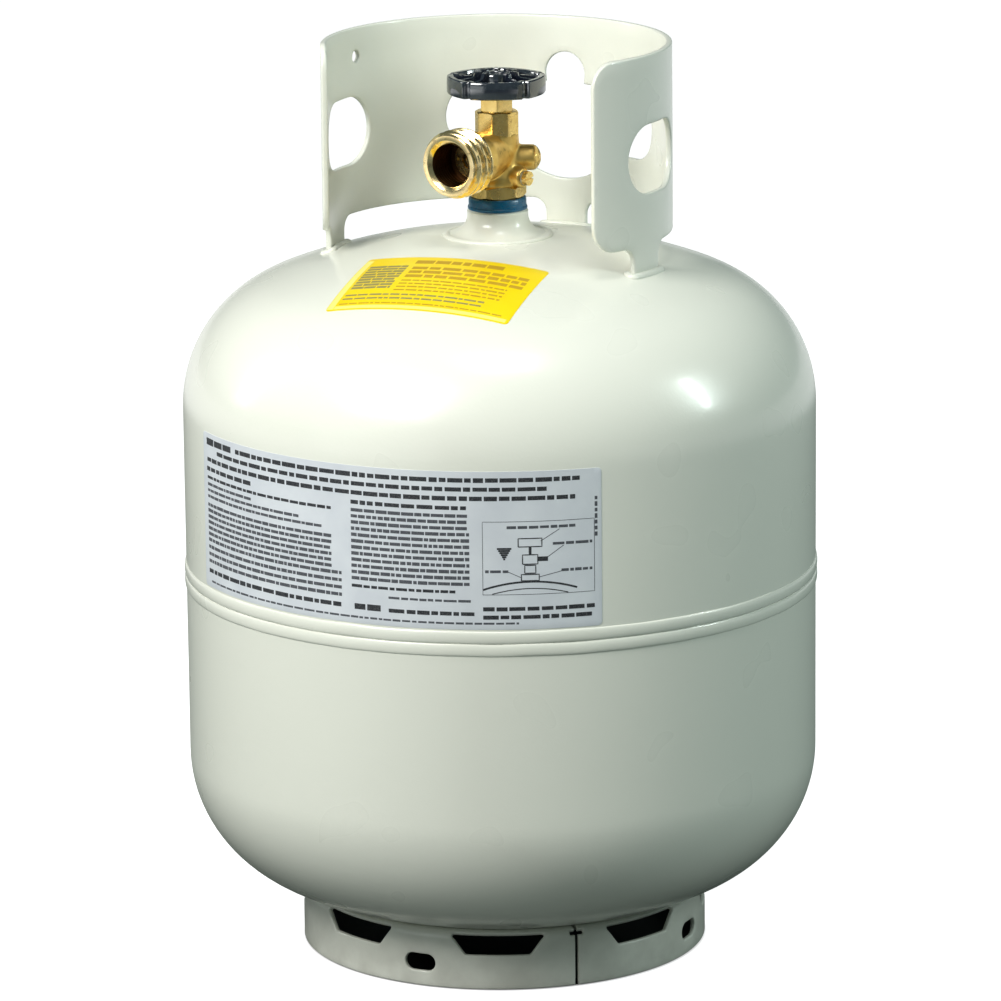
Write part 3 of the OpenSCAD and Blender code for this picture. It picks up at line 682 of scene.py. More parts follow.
LABEL_INKS = [ink("dark_ink", (0.022, 0.024, 0.030)), ink("mid_ink", (0.075, 0.080, 0.095))]
STICKER_INKS = [ink("gold_ink", (0.50, 0.31, 0.004)), ink("olive_ink", (0.30, 0.26, 0.085)),
                ink("pale_ink", (0.86, 0.76, 0.20))]
SLOTS = {row["node"]: row["material_slot"] for row in frame["record"]["subparts"]}


def follow(piece, node):
    """Gives a piece its CAD node's body."""
    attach(piece, frame["nodes"][node]["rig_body"])
    return piece


def show(piece, node):
    """Shows a piece in its CAD node's place."""
    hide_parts(node)
    return follow(piece, node)


def made(name, parts, node, crease=32):
    """Makes a piece in its CAD node's finish and shows it in the node's place."""
    return show(mesh_object(name, parts, [FINISHES[SLOTS[node]]], crease), node)


# ---- Shell halves and their welds ----

def head_arcs(grow, neck):
    """(r, z) from the wall's upper end over the knuckle and crown to the neck."""
    knuckle = arc(KNUCKLE_X, UPPER_TANGENT, KNUCKLE_R + grow, 0, pi / 2 - CROWN_HALF, 22)
    crown_end = asin(neck / (CROWN_R + grow))
    crown = arc(0, UPPER_CROWN_Z, CROWN_R + grow, pi / 2 - CROWN_HALF, pi / 2 - crown_end, 26)
    return knuckle + crown[1:]


def wall(r, z0, z1, count):
    """(r, z) up or down the straight wall, without its last point."""
    return [(r, z) for z in evenly(z0, z1, count)[:-1]]


def upper_shell():
    """The upper half, from the girth weld over the head to the neck hole."""
    outside = wall(BODY_R, SEAM_Z, UPPER_TANGENT, 18) + head_arcs(0, NECK_R)
    within = wall(BODY_R - SHELL_T, SEAM_Z, UPPER_TANGENT, 6) + head_arcs(-SHELL_T, NECK_R)[::2]
    return lathe(outside + within[::-1], 288, uneven)


def lower_shell():
    """The lower half, whose joggled lip reaches up behind the girth weld."""
    mirror = LOWER_TANGENT + UPPER_TANGENT
    groove = SEAM_Z - SEAM_GAP
    outside = wall(BODY_R, groove, LOWER_TANGENT, 12)
    outside += [(r, mirror - z) for r, z in head_arcs(0, 0.001)]
    within = wall(BODY_R - SHELL_T, groove - SHELL_T, LOWER_TANGENT, 5)
    within += [(r, mirror - z) for r, z in head_arcs(-SHELL_T, 0.001)[::2]]
    lip = BODY_R - SHELL_T - LIP_GAP
    joggle = [(lip - SHELL_T, groove + SHELL_T / 2), (lip - SHELL_T, groove + LIP_H),
              (lip, groove + LIP_H), (lip, groove + SHELL_T)]
    return lathe(outside + within[::-1] + joggle, 288, uneven)


def girth_weld():
    """Two low overlapping humps of weld all round, rippled by the moving torch."""
    wide = 2 * SEAM_HUMP
    crest = [(BODY_R - 0.25 + (SEAM_PROUD + 0.25) * sin(pi * i / 12) ** 0.7,
              SEAM_Z + SEAM_HUMP - SEAM_HUMP * cos(pi * i / 12) * side + shift)
             for side, shift in ((1, -wide), (1, 0)) for i in range(13)]
    root = [(BODY_R - SHELL_T, SEAM_Z), (BODY_R - SHELL_T - LIP_GAP, SEAM_Z - SEAM_GAP + SHELL_T),
            (BODY_R, SEAM_Z - SEAM_GAP)]

    def ripple(angle, r, z):
        if r < BODY_R - 0.2:
            return r, z
        off = z - SEAM_Z
        lag = abs(abs(off) - SEAM_HUMP) * 0.55
        wave = sin(TAU * (angle * BODY_R - lag) / 3.1 + (2 if off > 0 else 0))
        wander = noise.noise(Vector((sin(angle), cos(angle), 0.2 * (off > 0))) * 9)
        return r + 0.045 * wave + 0.09 * wander, z + 0.25 * wander

    return lathe(crest + root, 720, ripple)


def valve_boss():
    """The ring that the valve screws into, flaring out to its weld on the head."""
    base = head_z(BOSS_FLARE_R)
    flare = BOSS_FLARE_R - BOSS_R
    bell = arc(BOSS_FLARE_R, base + 0.8 + flare, flare, pi, 1.5 * pi, 16)
    bottom = BOSS_TOP - 19.6
    top = [(BOSS_R - 0.9, BOSS_TOP), (SHANK_R + 0.8, BOSS_TOP), (SHANK_R + 0.05, BOSS_TOP - 0.9)]
    outline = [(SHANK_R + 0.05, bottom), (NECK_R - 0.1, bottom), (NECK_R - 0.1, head_z(NECK_R) + 0.1),
               (BOSS_FLARE_R - 1, head_z(BOSS_FLARE_R - 1) + 0.1), (BOSS_FLARE_R, base + 0.1)]
    outline += bell[::-1] + [(BOSS_R, BOSS_TOP - 0.9)] + top
    return lathe(outline, 144)


def head_bead(route, width, height, lift=0.0):
    """A closed bead on the upper head, along a route of (radius, angle)."""
    points, normals = [], []
    for r, a in route:
        out, up = head_slope(r)
        points.append(Vector(polar(r, a, head_z(r) + lift)))
        normals.append(Vector(polar(out, a, up)))
    return bead(points, normals, width, height, True)


def boss_bead():
    """The fillet weld round the valve boss."""
    r = BOSS_FLARE_R + 0.6
    count = int(TAU * r / 0.55)
    return head_bead([(r, a) for a in evenly(0, TAU, count)[:-1]], 1.9, 1.3)


def leg_bead(azimuth):
    """The fillet weld that runs round a collar leg's foot."""
    half = in_degrees((COLLAR_R * radians(LEG_HALF) + 0.6) / COLLAR_R)
    middle, reach, bulge = COLLAR_R - COLLAR_T / 2, COLLAR_T / 2 + 0.7, 0.75
    route = []
    for side in (1, -1):
        route += [(middle + side * reach, az)
                  for az in evenly(azimuth - side * half, azimuth + side * half, 30)]
        route += [(middle + side * reach * cos(t), azimuth + side * (half + bulge * sin(t)))
                  for t in evenly(0, pi, 7)[1:-1]]
    return head_bead([(r, radians(az)) for r, az in route], 2.1, 1.7, 0.1)


def foot_bead(azimuth):
    """A short weld along the inner edge of the foot ring's flange."""
    points, normals = [], []
    for i in range(49):
        a = radians(azimuth - 12 + 0.5 * i)
        z = LOWER_CROWN_Z - sqrt((CROWN_R + 0.6) ** 2 - (FLANGE_R - 0.6) ** 2)
        points.append(Vector(polar(FLANGE_R - 0.6, a, z - 0.4)))
        normals.append(Vector(polar(0.28, a, -0.96)))
    return bead(points, normals, 2.4, 1.7, False)


made("upper_shell_skin", upper_shell(), "upper_shell")
made("lower_shell_skin", lower_shell(), "lower_shell")
made("girth_weld_bead", girth_weld(), "girth_weld", 60)
made("valve_boss_ring", valve_boss(), "valve_boss")
made("boss_weld_bead", boss_bead(), "boss_weld", 70)
legs = Parts()
for leg in (-FRONT_LEG, FRONT_LEG, 180):
    legs.add(leg_bead(leg))
made("collar_weld_beads", legs, "collar_welds", 70)
feet = Parts()
for foot in range(0, 360, 90):
    feet.add(foot_bead(foot))
made("foot_weld_beads", feet, "foot_ring_welds", 70)


# ---- Collar ----

def collar_s(azimuth):
    """Distance round the collar from its back, positive towards rising azimuth."""
    return radians(azimuth - 180) * COLLAR_R


def collar_wrap(s, v, depth):
    a = pi + s / COLLAR_R
    sway = 0.35 * round_noise(a, 1.6, v / 90)
    r = COLLAR_R - depth + sway * min(1, max(0, v - COLLAR_BOTTOM) / 60)
    return polar(r, a, v)


def collar_outline():
    """One half's corners from the front opening to the back leg, and their mirror image."""
    foot = head_z(COLLAR_R) - 0.4
    opening, leg = 180 - OPENING_HALF, 180 - FRONT_LEG
    half = [(opening, COLLAR_TOP, 12.5), (opening, COLLAR_BOTTOM, 14),
            (leg + LEG_HALF, COLLAR_BOTTOM, 9), (leg + LEG_HALF, foot, 0.4),
            (leg - LEG_HALF, foot, 0.4), (leg - LEG_HALF, COLLAR_BOTTOM, 9),
            (LEG_HALF, COLLAR_BOTTOM, 9), (LEG_HALF, foot, 0.4)]
    right = [(radians(a) * COLLAR_R, z, r) for a, z, r in half]
    left = [(-s, z, r) for s, z, r in reversed(right)]
    return resampled(rounded(right + left, 8), 3)


def oblong(s, z, w, h):
    """An upright-ended slot outline."""
    r, d = h / 2, (w - h) / 2
    return (arc(s + d, z, r, -pi / 2, pi / 2, 20) + arc(s - d, z, r, pi / 2, 1.5 * pi, 20))


def back_hole():
    """The wide hole at the back, with a lobe above and a sag below for fingers and valve tools."""
    r, d = HAND_H / 2, BACK_HOLE_W / 2 - HAND_H / 2
    lobe_r, lobe_z, sag_r, sag_z = 11, HAND_Z + 21.7, 32, HAND_Z + 0.7
    lobe = asin((HAND_Z + r - lobe_z) / lobe_r)
    sag = asin((HAND_Z - r - sag_z) / sag_r)
    loop = arc(d, HAND_Z, r, -pi / 2, pi / 2, 20)
    loop += arc(0, lobe_z, lobe_r, lobe, pi - lobe, 20)
    loop += arc(-d, HAND_Z, r, pi / 2, 1.5 * pi, 20)
    loop += arc(0, sag_z, sag_r, pi - sag, TAU + sag, 20)
    return softened(resampled(loop, 1.4), 3)


collar_holes = [resampled(oblong(collar_s(az % 360), HAND_Z, SIDE_HOLE_W, HAND_H), 2)
                for az in (SIDE_HOLE_AZ, -SIDE_HOLE_AZ)]
collar_holes += [back_hole(), arc(collar_s(TAG_AZ % 360), COLLAR_TOP - 14.5, 3, 0, TAU * 23 / 24, 23)]
collar_half = (180 - OPENING_HALF) * radians(1) * COLLAR_R
collar_sheet = cut_sheet(
    collar_outline(), collar_holes,
    [-collar_half + 3.7 * i for i in range(int(2 * collar_half / 3.7) + 1)],
    [COLLAR_BOTTOM - 12 + 3.9 * i for i in range(27)], collar_wrap, COLLAR_T, 0.9)
made("collar_sheet", collar_sheet, "collar", 40)


# ---- Foot ring ----

CURL_END = pi / 2 + atan2(CURL_X, LOWER_CROWN_Z - CURL_Z)
FLANGE_LENGTH = (atan2(CURL_X, LOWER_CROWN_Z - CURL_Z) - asin(FLANGE_R / CROWN_R)) * CROWN_R
FOOT_V_END = CURL_Z + CURL_R * CURL_END + FLANGE_LENGTH


def foot_wrap(s, v, depth):
    """Bends the foot ring's strip: up the wall, round the curl and in along the head."""
    a = radians(FOOT_GAP_AZ) + s / FOOT_R
    if v <= CURL_Z:
        r, z = FOOT_R - depth, v
    elif v <= CURL_Z + CURL_R * CURL_END:
        t = (v - CURL_Z) / CURL_R
        r = CURL_X + (CURL_R - depth) * cos(t)
        z = CURL_Z + (CURL_R - depth) * sin(t)
    else:
        t = atan2(CURL_X, LOWER_CROWN_Z - CURL_Z) - (v - CURL_Z - CURL_R * CURL_END) / CROWN_R
        r, z = (CROWN_R + depth) * sin(t), LOWER_CROWN_Z - (CROWN_R + depth) * cos(t)
    r += 0.25 * round_noise(a, 2, 3) * (1 - v / FOOT_V_END)
    return polar(r, a, z)


def curl_v(z):
    """Distance up the foot ring's strip where its outer face reaches a height."""
    return z if z <= CURL_Z else CURL_Z + CURL_R * asin(min(1, (z - CURL_Z) / CURL_R))


def foot_outline():
    """The strip's outline: its two ends meet at the gap, and each has a small notch."""
    start, end = FOOT_GAP / 2, TAU * FOOT_R - FOOT_GAP / 2
    low, high, deep = curl_v(25.6), curl_v(28), 2.7
    side = [(0, 0, 0.6), (0, low, 0.3), (deep, low, 0.7), (deep, high, 0.7), (0, high, 0.3),
            (0, FOOT_V_END, 0.4)]
    right = [(end - s, v, r) for s, v, r in side]
    left = [(start + s, v, r) for s, v, r in side]
    return resampled(rounded(left[:1] + right + left[:0:-1], 3), 2.6)


def drain_windows():
    """Eight windows, wider at the top, that reach up to the curl."""
    loops = []
    for k in range(8):
        middle = radians(22.5 + 45 * k - FOOT_GAP_AZ + (360 if k < 1 else 0)) * FOOT_R
        low, high = 17.3, curl_v(28)
        corners = [(-16, low, 1.8), (16, low, 1.8), (24.5, high, 1.6), (-24.5, high, 1.6)]
        loops.append(resampled(rounded([(middle + s, v, r) for s, v, r in corners], 4), 1.8))
    return loops


def drain_slots():
    """Four small slots low in the wall."""
    places = [radians((90 * k - FOOT_GAP_AZ) % 360) * FOOT_R for k in range(4)]
    return [resampled(oblong(s, 11.8, 16, 8.5), 1.5) for s in places]


curl_rows = [CURL_Z + CURL_R * CURL_END * i / 8 for i in range(9)]
foot_rows = [3, 6.5, 10, 13.5, 17, 20.5] + curl_rows + [FOOT_V_END - 4.2, FOOT_V_END - 2]
foot_sheet = cut_sheet(
    foot_outline(), drain_windows() + drain_slots(),
    [2.9 * i for i in range(1, int(TAU * FOOT_R / 2.9))], foot_rows, foot_wrap, FOOT_T, 0.8)
made("foot_ring_sheet", foot_sheet, "foot_ring", 40)


# ---- Labels and their print ----

PRINT_BASE = PAPER_T - 0.04
PRINT_TOP = PAPER_T + 0.035


def box_path(x0, y0, x1, y1):
    """The four corners of an upright box."""
    return [(x0, y0), (x1, y0), (x1, y1), (x0, y1)]


def sheet_patch(patch, half, y0, y1, columns, rows):
    """A closed label: a sheet as thick as the paper, on a patch of the surface."""
    corners = [(x, y, PAPER_CORNER) for x, y in box_path(-half, y0, half, y1)]

    def wrap(s, v, depth):
        return patch(s, v, PAPER_T - depth - 0.02 * (depth > PAPER_T / 2))

    return cut_sheet(resampled(rounded(corners, 5), 2.2), [], evenly(-half, half, columns)[1:-1],
                     evenly(y0, y1, rows)[1:-1], wrap, PAPER_T, 0.04)


def strip(patch, path, width):
    """A thin closed ribbon of ink along a 2D path on a patch."""
    verts, faces = [], []
    for i, p in enumerate(path):
        ahead = Vector(path[min(i + 1, len(path) - 1)]) - Vector(path[max(i - 1, 0)])
        side = Vector((-ahead.y, ahead.x)).normalized() * width / 2
        for q in (Vector(p) + side, Vector(p) - side):
            verts += [patch(q.x, q.y, PRINT_BASE), patch(q.x, q.y, PRINT_TOP)]
    for i in range(len(path) - 1):
        a, b = 4 * i, 4 * i + 4
        faces += [(a + 1, a + 3, b + 3, b + 1), (a, b, b + 2, a + 2), (a, a + 1, b + 1, b),
                  (a + 2, b + 2, b + 3, a + 3)]
    last = 4 * (len(path) - 1)
    return verts, faces + [(0, 2, 3, 1), (last, last + 1, last + 3, last + 2)]


def bar(patch, x0, x1, y, height):
    """A level printed bar."""
    return strip(patch, divided((x0, y), (x1, y), 2.5) + [(x1, y)], height)


def line_of_bars(parts, patch, rng, x0, x1, y, height, slot, word=(1.6, 6.5), gap=0.7):
    """A line of plain bars with gaps, which stands for a line of print."""
    x = x0
    while x < x1 - 0.8:
        end = min(x1, x + rng.uniform(*word))
        level = y + rng.uniform(-0.04, 0.04)
        parts.add(bar(patch, x, end, level, height * rng.uniform(0.86, 1.0)), None, slot)
        x = end + gap * rng.uniform(0.8, 1.3)


def stroke(parts, patch, path, width, slot):
    """A printed line along a path."""
    dense = [p for a, b in zip(path, path[1:]) for p in divided(a, b, 1.5)]
    parts.add(strip(patch, dense + [path[-1]], width), None, slot)


def on_label(degrees):
    """x on the body patch for an azimuth measured from the middle of the camera's view."""
    return radians(degrees + WHEEL_AZ) * BODY_R


def paper_print():
    """The white label's lines: one long heading, two columns, a foot line and a side note."""
    rng = random.Random(11)
    parts = Parts()
    dark, mid = 0, 1

    def line(x0, x1, y, height, slot=dark, **words):
        line_of_bars(parts, body_patch, rng, on_label(x0), on_label(x1), y, height, slot, **words)

    def block(x0, x1, top, bottom, count, height):
        for i in range(count):
            line(x0, x1, top + (bottom - top) * i / (count - 1), height, mid, gap=0.5)

    bold = {"word": (2.6, 8.5), "gap": 0.9}
    line(-65.2, -56, 267.6, 3.4, word=(5, 11), gap=0.8)
    line(-54.5, 14, 267.6, 2.3, **bold)
    line(-61, 8, 263.2, 2.1, **bold)
    line(-65, 13, 258.8, 2.2, **bold)
    line(-65.2, -50, 254.2, 2.2, **bold)
    line(-65, -31, 250, 1.5)
    for end, y in ((-50, 246.6), (-38, 243.6), (-33, 240.6)):
        line(-65, end, y, 1.45, mid, gap=0.5)
    block(-65, -31, 236.4, 222, 6, 1.65)
    block(-65, -29, 219, 208.5, 4, 1.75)
    line(-27, -6, 254.2, 2.1, **bold)
    block(-27, -5.5, 250.4, 217.4, 12, 1.7)
    line(-27, -8, 213.6, 1.5)
    line(-20, -5, 209.2, 1.2, mid)
    line(-65, -28.5, 203.6, 2.2, **bold)
    line(-26.5, -21.5, 203.6, 3.0, word=(4, 8), gap=1)
    line(-20, -4.5, 203.0, 2.0, **bold)
    line(-3.2, 16.4, 205.4, 2.0, **bold)
    line(-3.2, 16.4, 201.4, 2.0, **bold)
    line(-64, 3, 198.4, 1.0, mid)
    for i in range(7):
        side = on_label(16.5)
        parts.add(bar(body_patch, side, side + 1.3, 240 + 2.9 * i, rng.uniform(1.6, 2.3)), None, mid)
    diagram(parts, rng, dark, mid)
    return parts


def diagram(parts, rng, dark, mid):
    """A plain line drawing of a valve on a dome, with leader lines to bars."""

    def draw(path, width, slot):
        stroke(parts, body_patch, path, width, slot)

    def box(x0, y0, x1, y1, width, slot):
        draw(box_path(x0, y0, x1, y1) + [(x0, y0)], width, slot)

    left, wide = on_label(-3.2), on_label(16.4) - on_label(-3.2)
    box(left, 212.4, left + wide, 247.6, 0.25, mid)
    middle = left + wide * 0.42
    draw(arc(middle, 150, 68.5, radians(71), radians(109), 24), 0.9, dark)
    draw(arc(middle, 150, 65.2, radians(74), radians(106), 20), 0.45, dark)
    for low, high, half in ((219, 222, 4.2), (222.6, 226.4, 2.6), (227, 231.5, 3.6), (235.4, 239.4, 5.6)):
        box(middle - half, low, middle + half, high, 0.5, dark)
    draw([(middle, 231.8), (middle, 235.2)], 1.3, dark)
    draw([(middle + 3.8, 229.4), (middle + 8.4, 229.4)], 2.2, dark)
    for y, half in zip([234.6, 233.6, 232.6, 231.6, 230.6, 229.6], [3.4, 2.8, 2.2, 1.6, 1.0, 0.45]):
        x = middle - 12.2
        parts.add(bar(body_patch, x - half, x + half, y, 0.9), None, dark)
    leaders = [(5, 238, 9, 243.5), (8, 230, 8, 235.6), (4, 220.6, 12, 223.4), (-4.4, 220.6, -6, 223.4)]
    for x, y, run, end in leaders:
        draw([(middle + x, y), (middle + x + run, end)], 0.3, mid)
    for start, end, y in ((1.0, 13, 244.8), (9, 16, 236.6), (10.5, 16, 223.6), (-2.8, 1.4, 223.6)):
        line_of_bars(parts, body_patch, rng, on_label(start), on_label(end), y, 1.4, mid)


def sticker_print():
    """Warm bars in rows, a dense block at the left and pale bands along two edges."""
    rng = random.Random(23)
    parts = Parts()
    gold, olive, pale = 0, 1, 2
    left, right = -STICKER_W / 2 + 5, STICKER_W / 2 - 5

    def rows(x0, x1, count, start, step, height, slot, **words):
        for i in range(count):
            y = STICKER_NEAR + start + step * i
            line_of_bars(parts, dome_patch, rng, x0, x1, y, height, slot, **words)

    bold = {"word": (3.5, 10), "gap": 1.1}
    rows(left + 22, right - 16, 1, 6.5, 1, 4.2, gold, **bold)
    rows(left, left + 20, 9, 12, 2.9, 2.3, olive, word=(4, 9), gap=0.5)
    rows(left + 23, right, 3, 14, 4.6, 3.2, gold, **bold)
    rows(left + 23, right - 6, 4, 28, 3.3, 1.4, gold)
    rows(left, right - 12, 2, 42.4, 3.5, 1.5, olive)
    rows(left, right, 1, 50.4, 1, 1.0, gold)
    stroke(parts, dome_patch, [(left - 3, STICKER_NEAR + 3), (left - 3, STICKER_FAR - 1.2)], 3.2, pale)
    stroke(parts, dome_patch, [(left - 1, STICKER_FAR - 2.4), (right + 3.4, STICKER_FAR - 2.4)], 2.6, pale)
    return parts


made("paper_label", sheet_patch(body_patch, radians(PAPER_HALF) * BODY_R, PAPER_Z0, PAPER_Z1, 112, 24),
     "info_label")
made("dome_sticker_film", sheet_patch(dome_patch, STICKER_W / 2, STICKER_NEAR, STICKER_FAR, 46, 28),
     "dome_sticker")
follow(mesh_object("paper_label_print", paper_print(), LABEL_INKS), "info_label")
follow(mesh_object("dome_sticker_print", sticker_print(), STICKER_INKS), "dome_sticker")


# ---- Valve ----

def applied(piece, kind, **settings):
    """Applies one modifier to a piece and clears it."""
    modifier = piece.modifiers.new(kind, kind)
    for key, value in settings.items():
        setattr(modifier, key, value)
    graph = bpy.context.evaluated_depsgraph_get()
    mesh = bpy.data.meshes.new_from_object(piece.evaluated_get(graph))
    piece.modifiers.clear()
    piece.data = mesh


def forging():
    """The hot-forged brass: trunk, outlet neck, bosses and flange, blended together."""
    parts = Parts()
    out, relief, bleed = along(0, OUTLET_Z), along(RELIEF_AZ, RELIEF_Z), along(BLEED_AZ, BLEED_Z)
    base = HEX_Z + HEX_H - 0.8
    trunk = [(0, base), (12.2, base), (12.4, base + 1.2), (12.2, base + 2.6), (11.2, base + 4.4),
             (10.9, OUTLET_Z - 4), (10.9, OUTLET_Z + 4), (10.6, HEAD_Z + 0.5), (9.4, HEAD_Z + 1.5),
             (0, HEAD_Z + 1.5)]
    neck = [(0, 0), (10.6, 0), (11.4, 8), (12.4, 14), (13.4, 19), (13.4, 25.2), (12.9, 25.8), (0, 25.8)]
    parts.add(lathe(trunk, 72))
    parts.add(lathe(neck, 72), out)
    parts.add(lathe([(0, 0), (7.4, 0), (6.4, 11), (6.3, 18.2), (5.9, 18.6), (0, 18.6)], 48), relief)
    parts.add(lathe([(0, 0), (6.2, 0), (5.2, 11), (5, 15.2), (4.7, 15.5), (0, 15.5)], 48), bleed)
    rib = [(-2.6, 11.5), (2.6, 11.5), (2.2, 24.5), (-2.2, 24.5)]
    low, high = ([(x, -y, z) for x, y in rib] for z in (OUTLET_Z - 15.6, OUTLET_Z - 9))
    parts.add(prism(low, high))
    piece = mesh_object("valve_forging", parts, [])
    applied(piece, "REMESH", mode="VOXEL", voxel_size=0.5 * MM)
    applied(piece, "SMOOTH", factor=0.6, iterations=9)
    return piece


def bored(piece, cutters):
    """Cuts round holes into a piece."""
    for shell, place in cutters:
        cutter = mesh_object("cutter", Parts().add(shell, place), [])
        applied(piece, "BOOLEAN", operation="DIFFERENCE", solver="EXACT", object=cutter)
        bpy.data.objects.remove(cutter)


def acme(turns):
    """Height of a blunt trapezoid thread, from 0 at the root to 1 at the crest."""
    t = turns % 1
    flank = 0.14
    if t < flank:
        return t / flank
    if t < 0.36:
        return 1
    return max(0, 1 - (t - 0.36) / flank)


def outlet_sleeve():
    """The machined end of the outlet: coarse thread outside, fine thread inside, bevelled mouth."""
    start, thread_from, face = 23.9, 26.2, OUTLET_REACH
    root_r, deep, pitch = OUTLET_R - 1.75, 1.75, 5.08
    rows = evenly(thread_from, face - 1.4, 62)
    outside = [(12.3, start), (12.3, thread_from - 0.4), (root_r - 0.6, thread_from - 0.3)]
    outside += [(root_r, z) for z in rows] + [(root_r + 0.2, face - 0.5), (root_r - 0.2, face)]
    fine_rows = evenly(face - 1.8, start, 60)
    within = [(12.6, face), (12.3, face - 0.12)] + [(OUTLET_BORE, z) for z in fine_rows]

    def cut(angle, r, z):
        if r == root_r and thread_from <= z <= face - 1.4:
            lead = min(1, (face - 0.9 - z) / 2.2) * min(1, max(0, (z - thread_from) / 1.6))
            return r + deep * acme(z / pitch - angle / TAU) * max(0, lead), z
        if r == OUTLET_BORE:
            lead = min(1, (face - 1.8 - z) / 1.5) * min(1, max(0, (z - start - 2.5) / 2))
            return r + 0.5 * max(0, lead) * (0.5 + 0.5 * sin(TAU * (z / 1.81 + angle / TAU))), z
        return r, z

    return lathe(outside + within, 144, cut)


def shank():
    """The tapered pipe thread that screws down into the boss."""
    rows = [SHANK_BOTTOM + 0.6 + 0.3 * i for i in range(76)]
    outer = [(11.2, SHANK_BOTTOM)] + [(11.4, z) for z in rows] + [(12.2, rows[-1] + 0.8), (12.2, HEX_Z + 0.5)]
    inner = [(6.5, HEX_Z + 0.5), (6.5, SHANK_BOTTOM)]

    def cut(angle, r, z):
        if r != 11.4:
            return r, z
        lead = min(1, (z - SHANK_BOTTOM) / 2)
        return r + 0.05 * (z - SHANK_BOTTOM) / 2.46 + 0.9 * lead * acme(z / 1.81 - angle / TAU), z

    return lathe(outer + inner, 96, cut)


def valve_holes():
    """The outlet's check pocket, the stem's bore and seat, the relief pocket and the bleed hole."""
    outlet = [(0, 5), (4.5, 5), (4.5, 12), (8.5, 12), (8.5, 24), (11.1, 24.3), (11.1, 30), (0, 30)]
    stem = [(0, HEX_Z + 3), (5.5, HEX_Z + 3), (5.5, OUTLET_Z - 8), (4, OUTLET_Z - 7), (4, OUTLET_Z - 6),
            (7, OUTLET_Z - 5.9), (7, OUTLET_Z + 4), (6.3, OUTLET_Z + 4.2), (6.3, HEAD_Z + 8), (0, HEAD_Z + 8)]
    return [
        (lathe(outlet, 72), along(0, OUTLET_Z)),
        (lathe(stem, 60), None),
        (lathe([(0, 11.5), (4.6, 11.5), (4.6, 24), (0, 24)], 48), along(RELIEF_AZ, RELIEF_Z)),
        (lathe([(0, 10.2), (2.05, 10.2), (2.05, 20), (0, 20)], 32), along(BLEED_AZ, BLEED_Z)),
    ]


def machined_ends():
    """The wrench hexagon, the octagon head with its spigot, the outlet's sleeve and the shank."""
    low, high = HEAD_Z - 0.5, HEAD_Z + 4.5
    parts = Parts()
    parts.add(flats_bar(25, 6, HEX_Z, HEX_Z + HEX_H, 6.4, corner=0.8, low=1, high=1), turned(32.5 - VALVE_AZ))
    parts.add(flats_bar(20, 8, HEAD_Z, BODY_TOP, 8.02, corner=0.7, high=1))
    parts.add(lathe([(6.15, low), (9.2, low), (9.2, high), (6.15, high)], 60))
    parts.add(outlet_sleeve(), along(0, OUTLET_Z), 1)
    parts.add(shank())
    return mesh_object("machined", parts, [], 38)


def valve_body():
    """The bored forging and the machined ends in one mesh, with the outlet's bore in near-black brass as
    painted shade.
    """
    body = forging()
    bored(body, valve_holes())
    finish_mesh(body.data, 38)
    machined = machined_ends()
    bm = bmesh.new()
    bm.from_mesh(body.data)
    for face in bm.faces:
        face.material_index = 0
    bm.from_mesh(machined.data)
    first_machined = len(body.data.polygons)
    bm.faces.ensure_lookup_table()
    for face in bm.faces[first_machined:]:
        face.material_index += 1
    for face in bm.faces:
        # Painted shade: faces inside the outlet's bore get the near-black brass.
        x, y, z = face.calc_center_median() / MM
        if 10 < -y < OUTLET_REACH - 1.6 and hypot(x, z - OUTLET_Z) < OUTLET_BORE + 0.6:
            face.material_index = 3
    mesh = bpy.data.meshes.new("brass_valve_body")
    bm.to_mesh(mesh)
    bm.free()
    for material in (FINISHES["brass_forging"], FINISHES["brass_turned"], TURNED_Y, BORE_PAINTED_SHADE):
        mesh.materials.append(material)
    for unused in (body, machined):
        bpy.data.objects.remove(unused)
    mesh.transform(turned(VALVE_AZ))
    return linked("brass_valve_body", mesh)


def thread_seal():
    """Blue thread compound squeezed out between the boss and the hexagon."""
    top = HEX_Z - 0.05

    def ooze(angle, r, z):
        if r < 13.5:
            return r, z
        return r + 0.28 * round_noise(angle, 2.4, z / 5) + 0.08 * round_noise(angle, 9, z / 2), z

    outline = [(SHANK_R + 0.05, BOSS_TOP), (14.2, BOSS_TOP), (14.75, BOSS_TOP + 0.4), (14.7, BOSS_TOP + 1.3),
               (14.25, BOSS_TOP + 1.8), (14.15, BOSS_TOP + 3.2), (14.1, top - 1.1), (13.8, top - 0.3),
               (13.4, top), (SHANK_R + 0.05, top)]
    return lathe(outline, 144, ooze)


def bonnet_nut():
    """The packing nut: a chamfered hexagon over a round spigot, with a turned collar on top."""
    top, bore = BODY_TOP + 8.2, 4.05
    spigot = [(bore, BODY_TOP - 5.6), (7.7, BODY_TOP - 5.6), (7.9, BODY_TOP - 5.2), (7.9, BODY_TOP + 0.3),
              (bore, BODY_TOP + 0.3)]
    rim = [(bore, top - 1.8), (6.6, top - 1.8), (6.6, top - 0.4), (6.2, top), (4.6, top), (bore, top - 0.5)]
    parts = Parts()
    parts.add(flats_bar(15.3, 6, BODY_TOP + 0.05, top - 1.4, bore, low=0.6, high=1), turned(54.5 - VALVE_AZ))
    return parts.add(lathe(spigot, 72)).add(lathe(rim, 72))


show(valve_body(), "valve_body")
made("thread_compound", thread_seal(), "thread_seal")
made("bonnet_hex_nut", bonnet_nut(), "bonnet_nut").data.transform(turned(VALVE_AZ))


# ---- Handwheel ----

WHEEL_H = 8.6
LOBES = 5


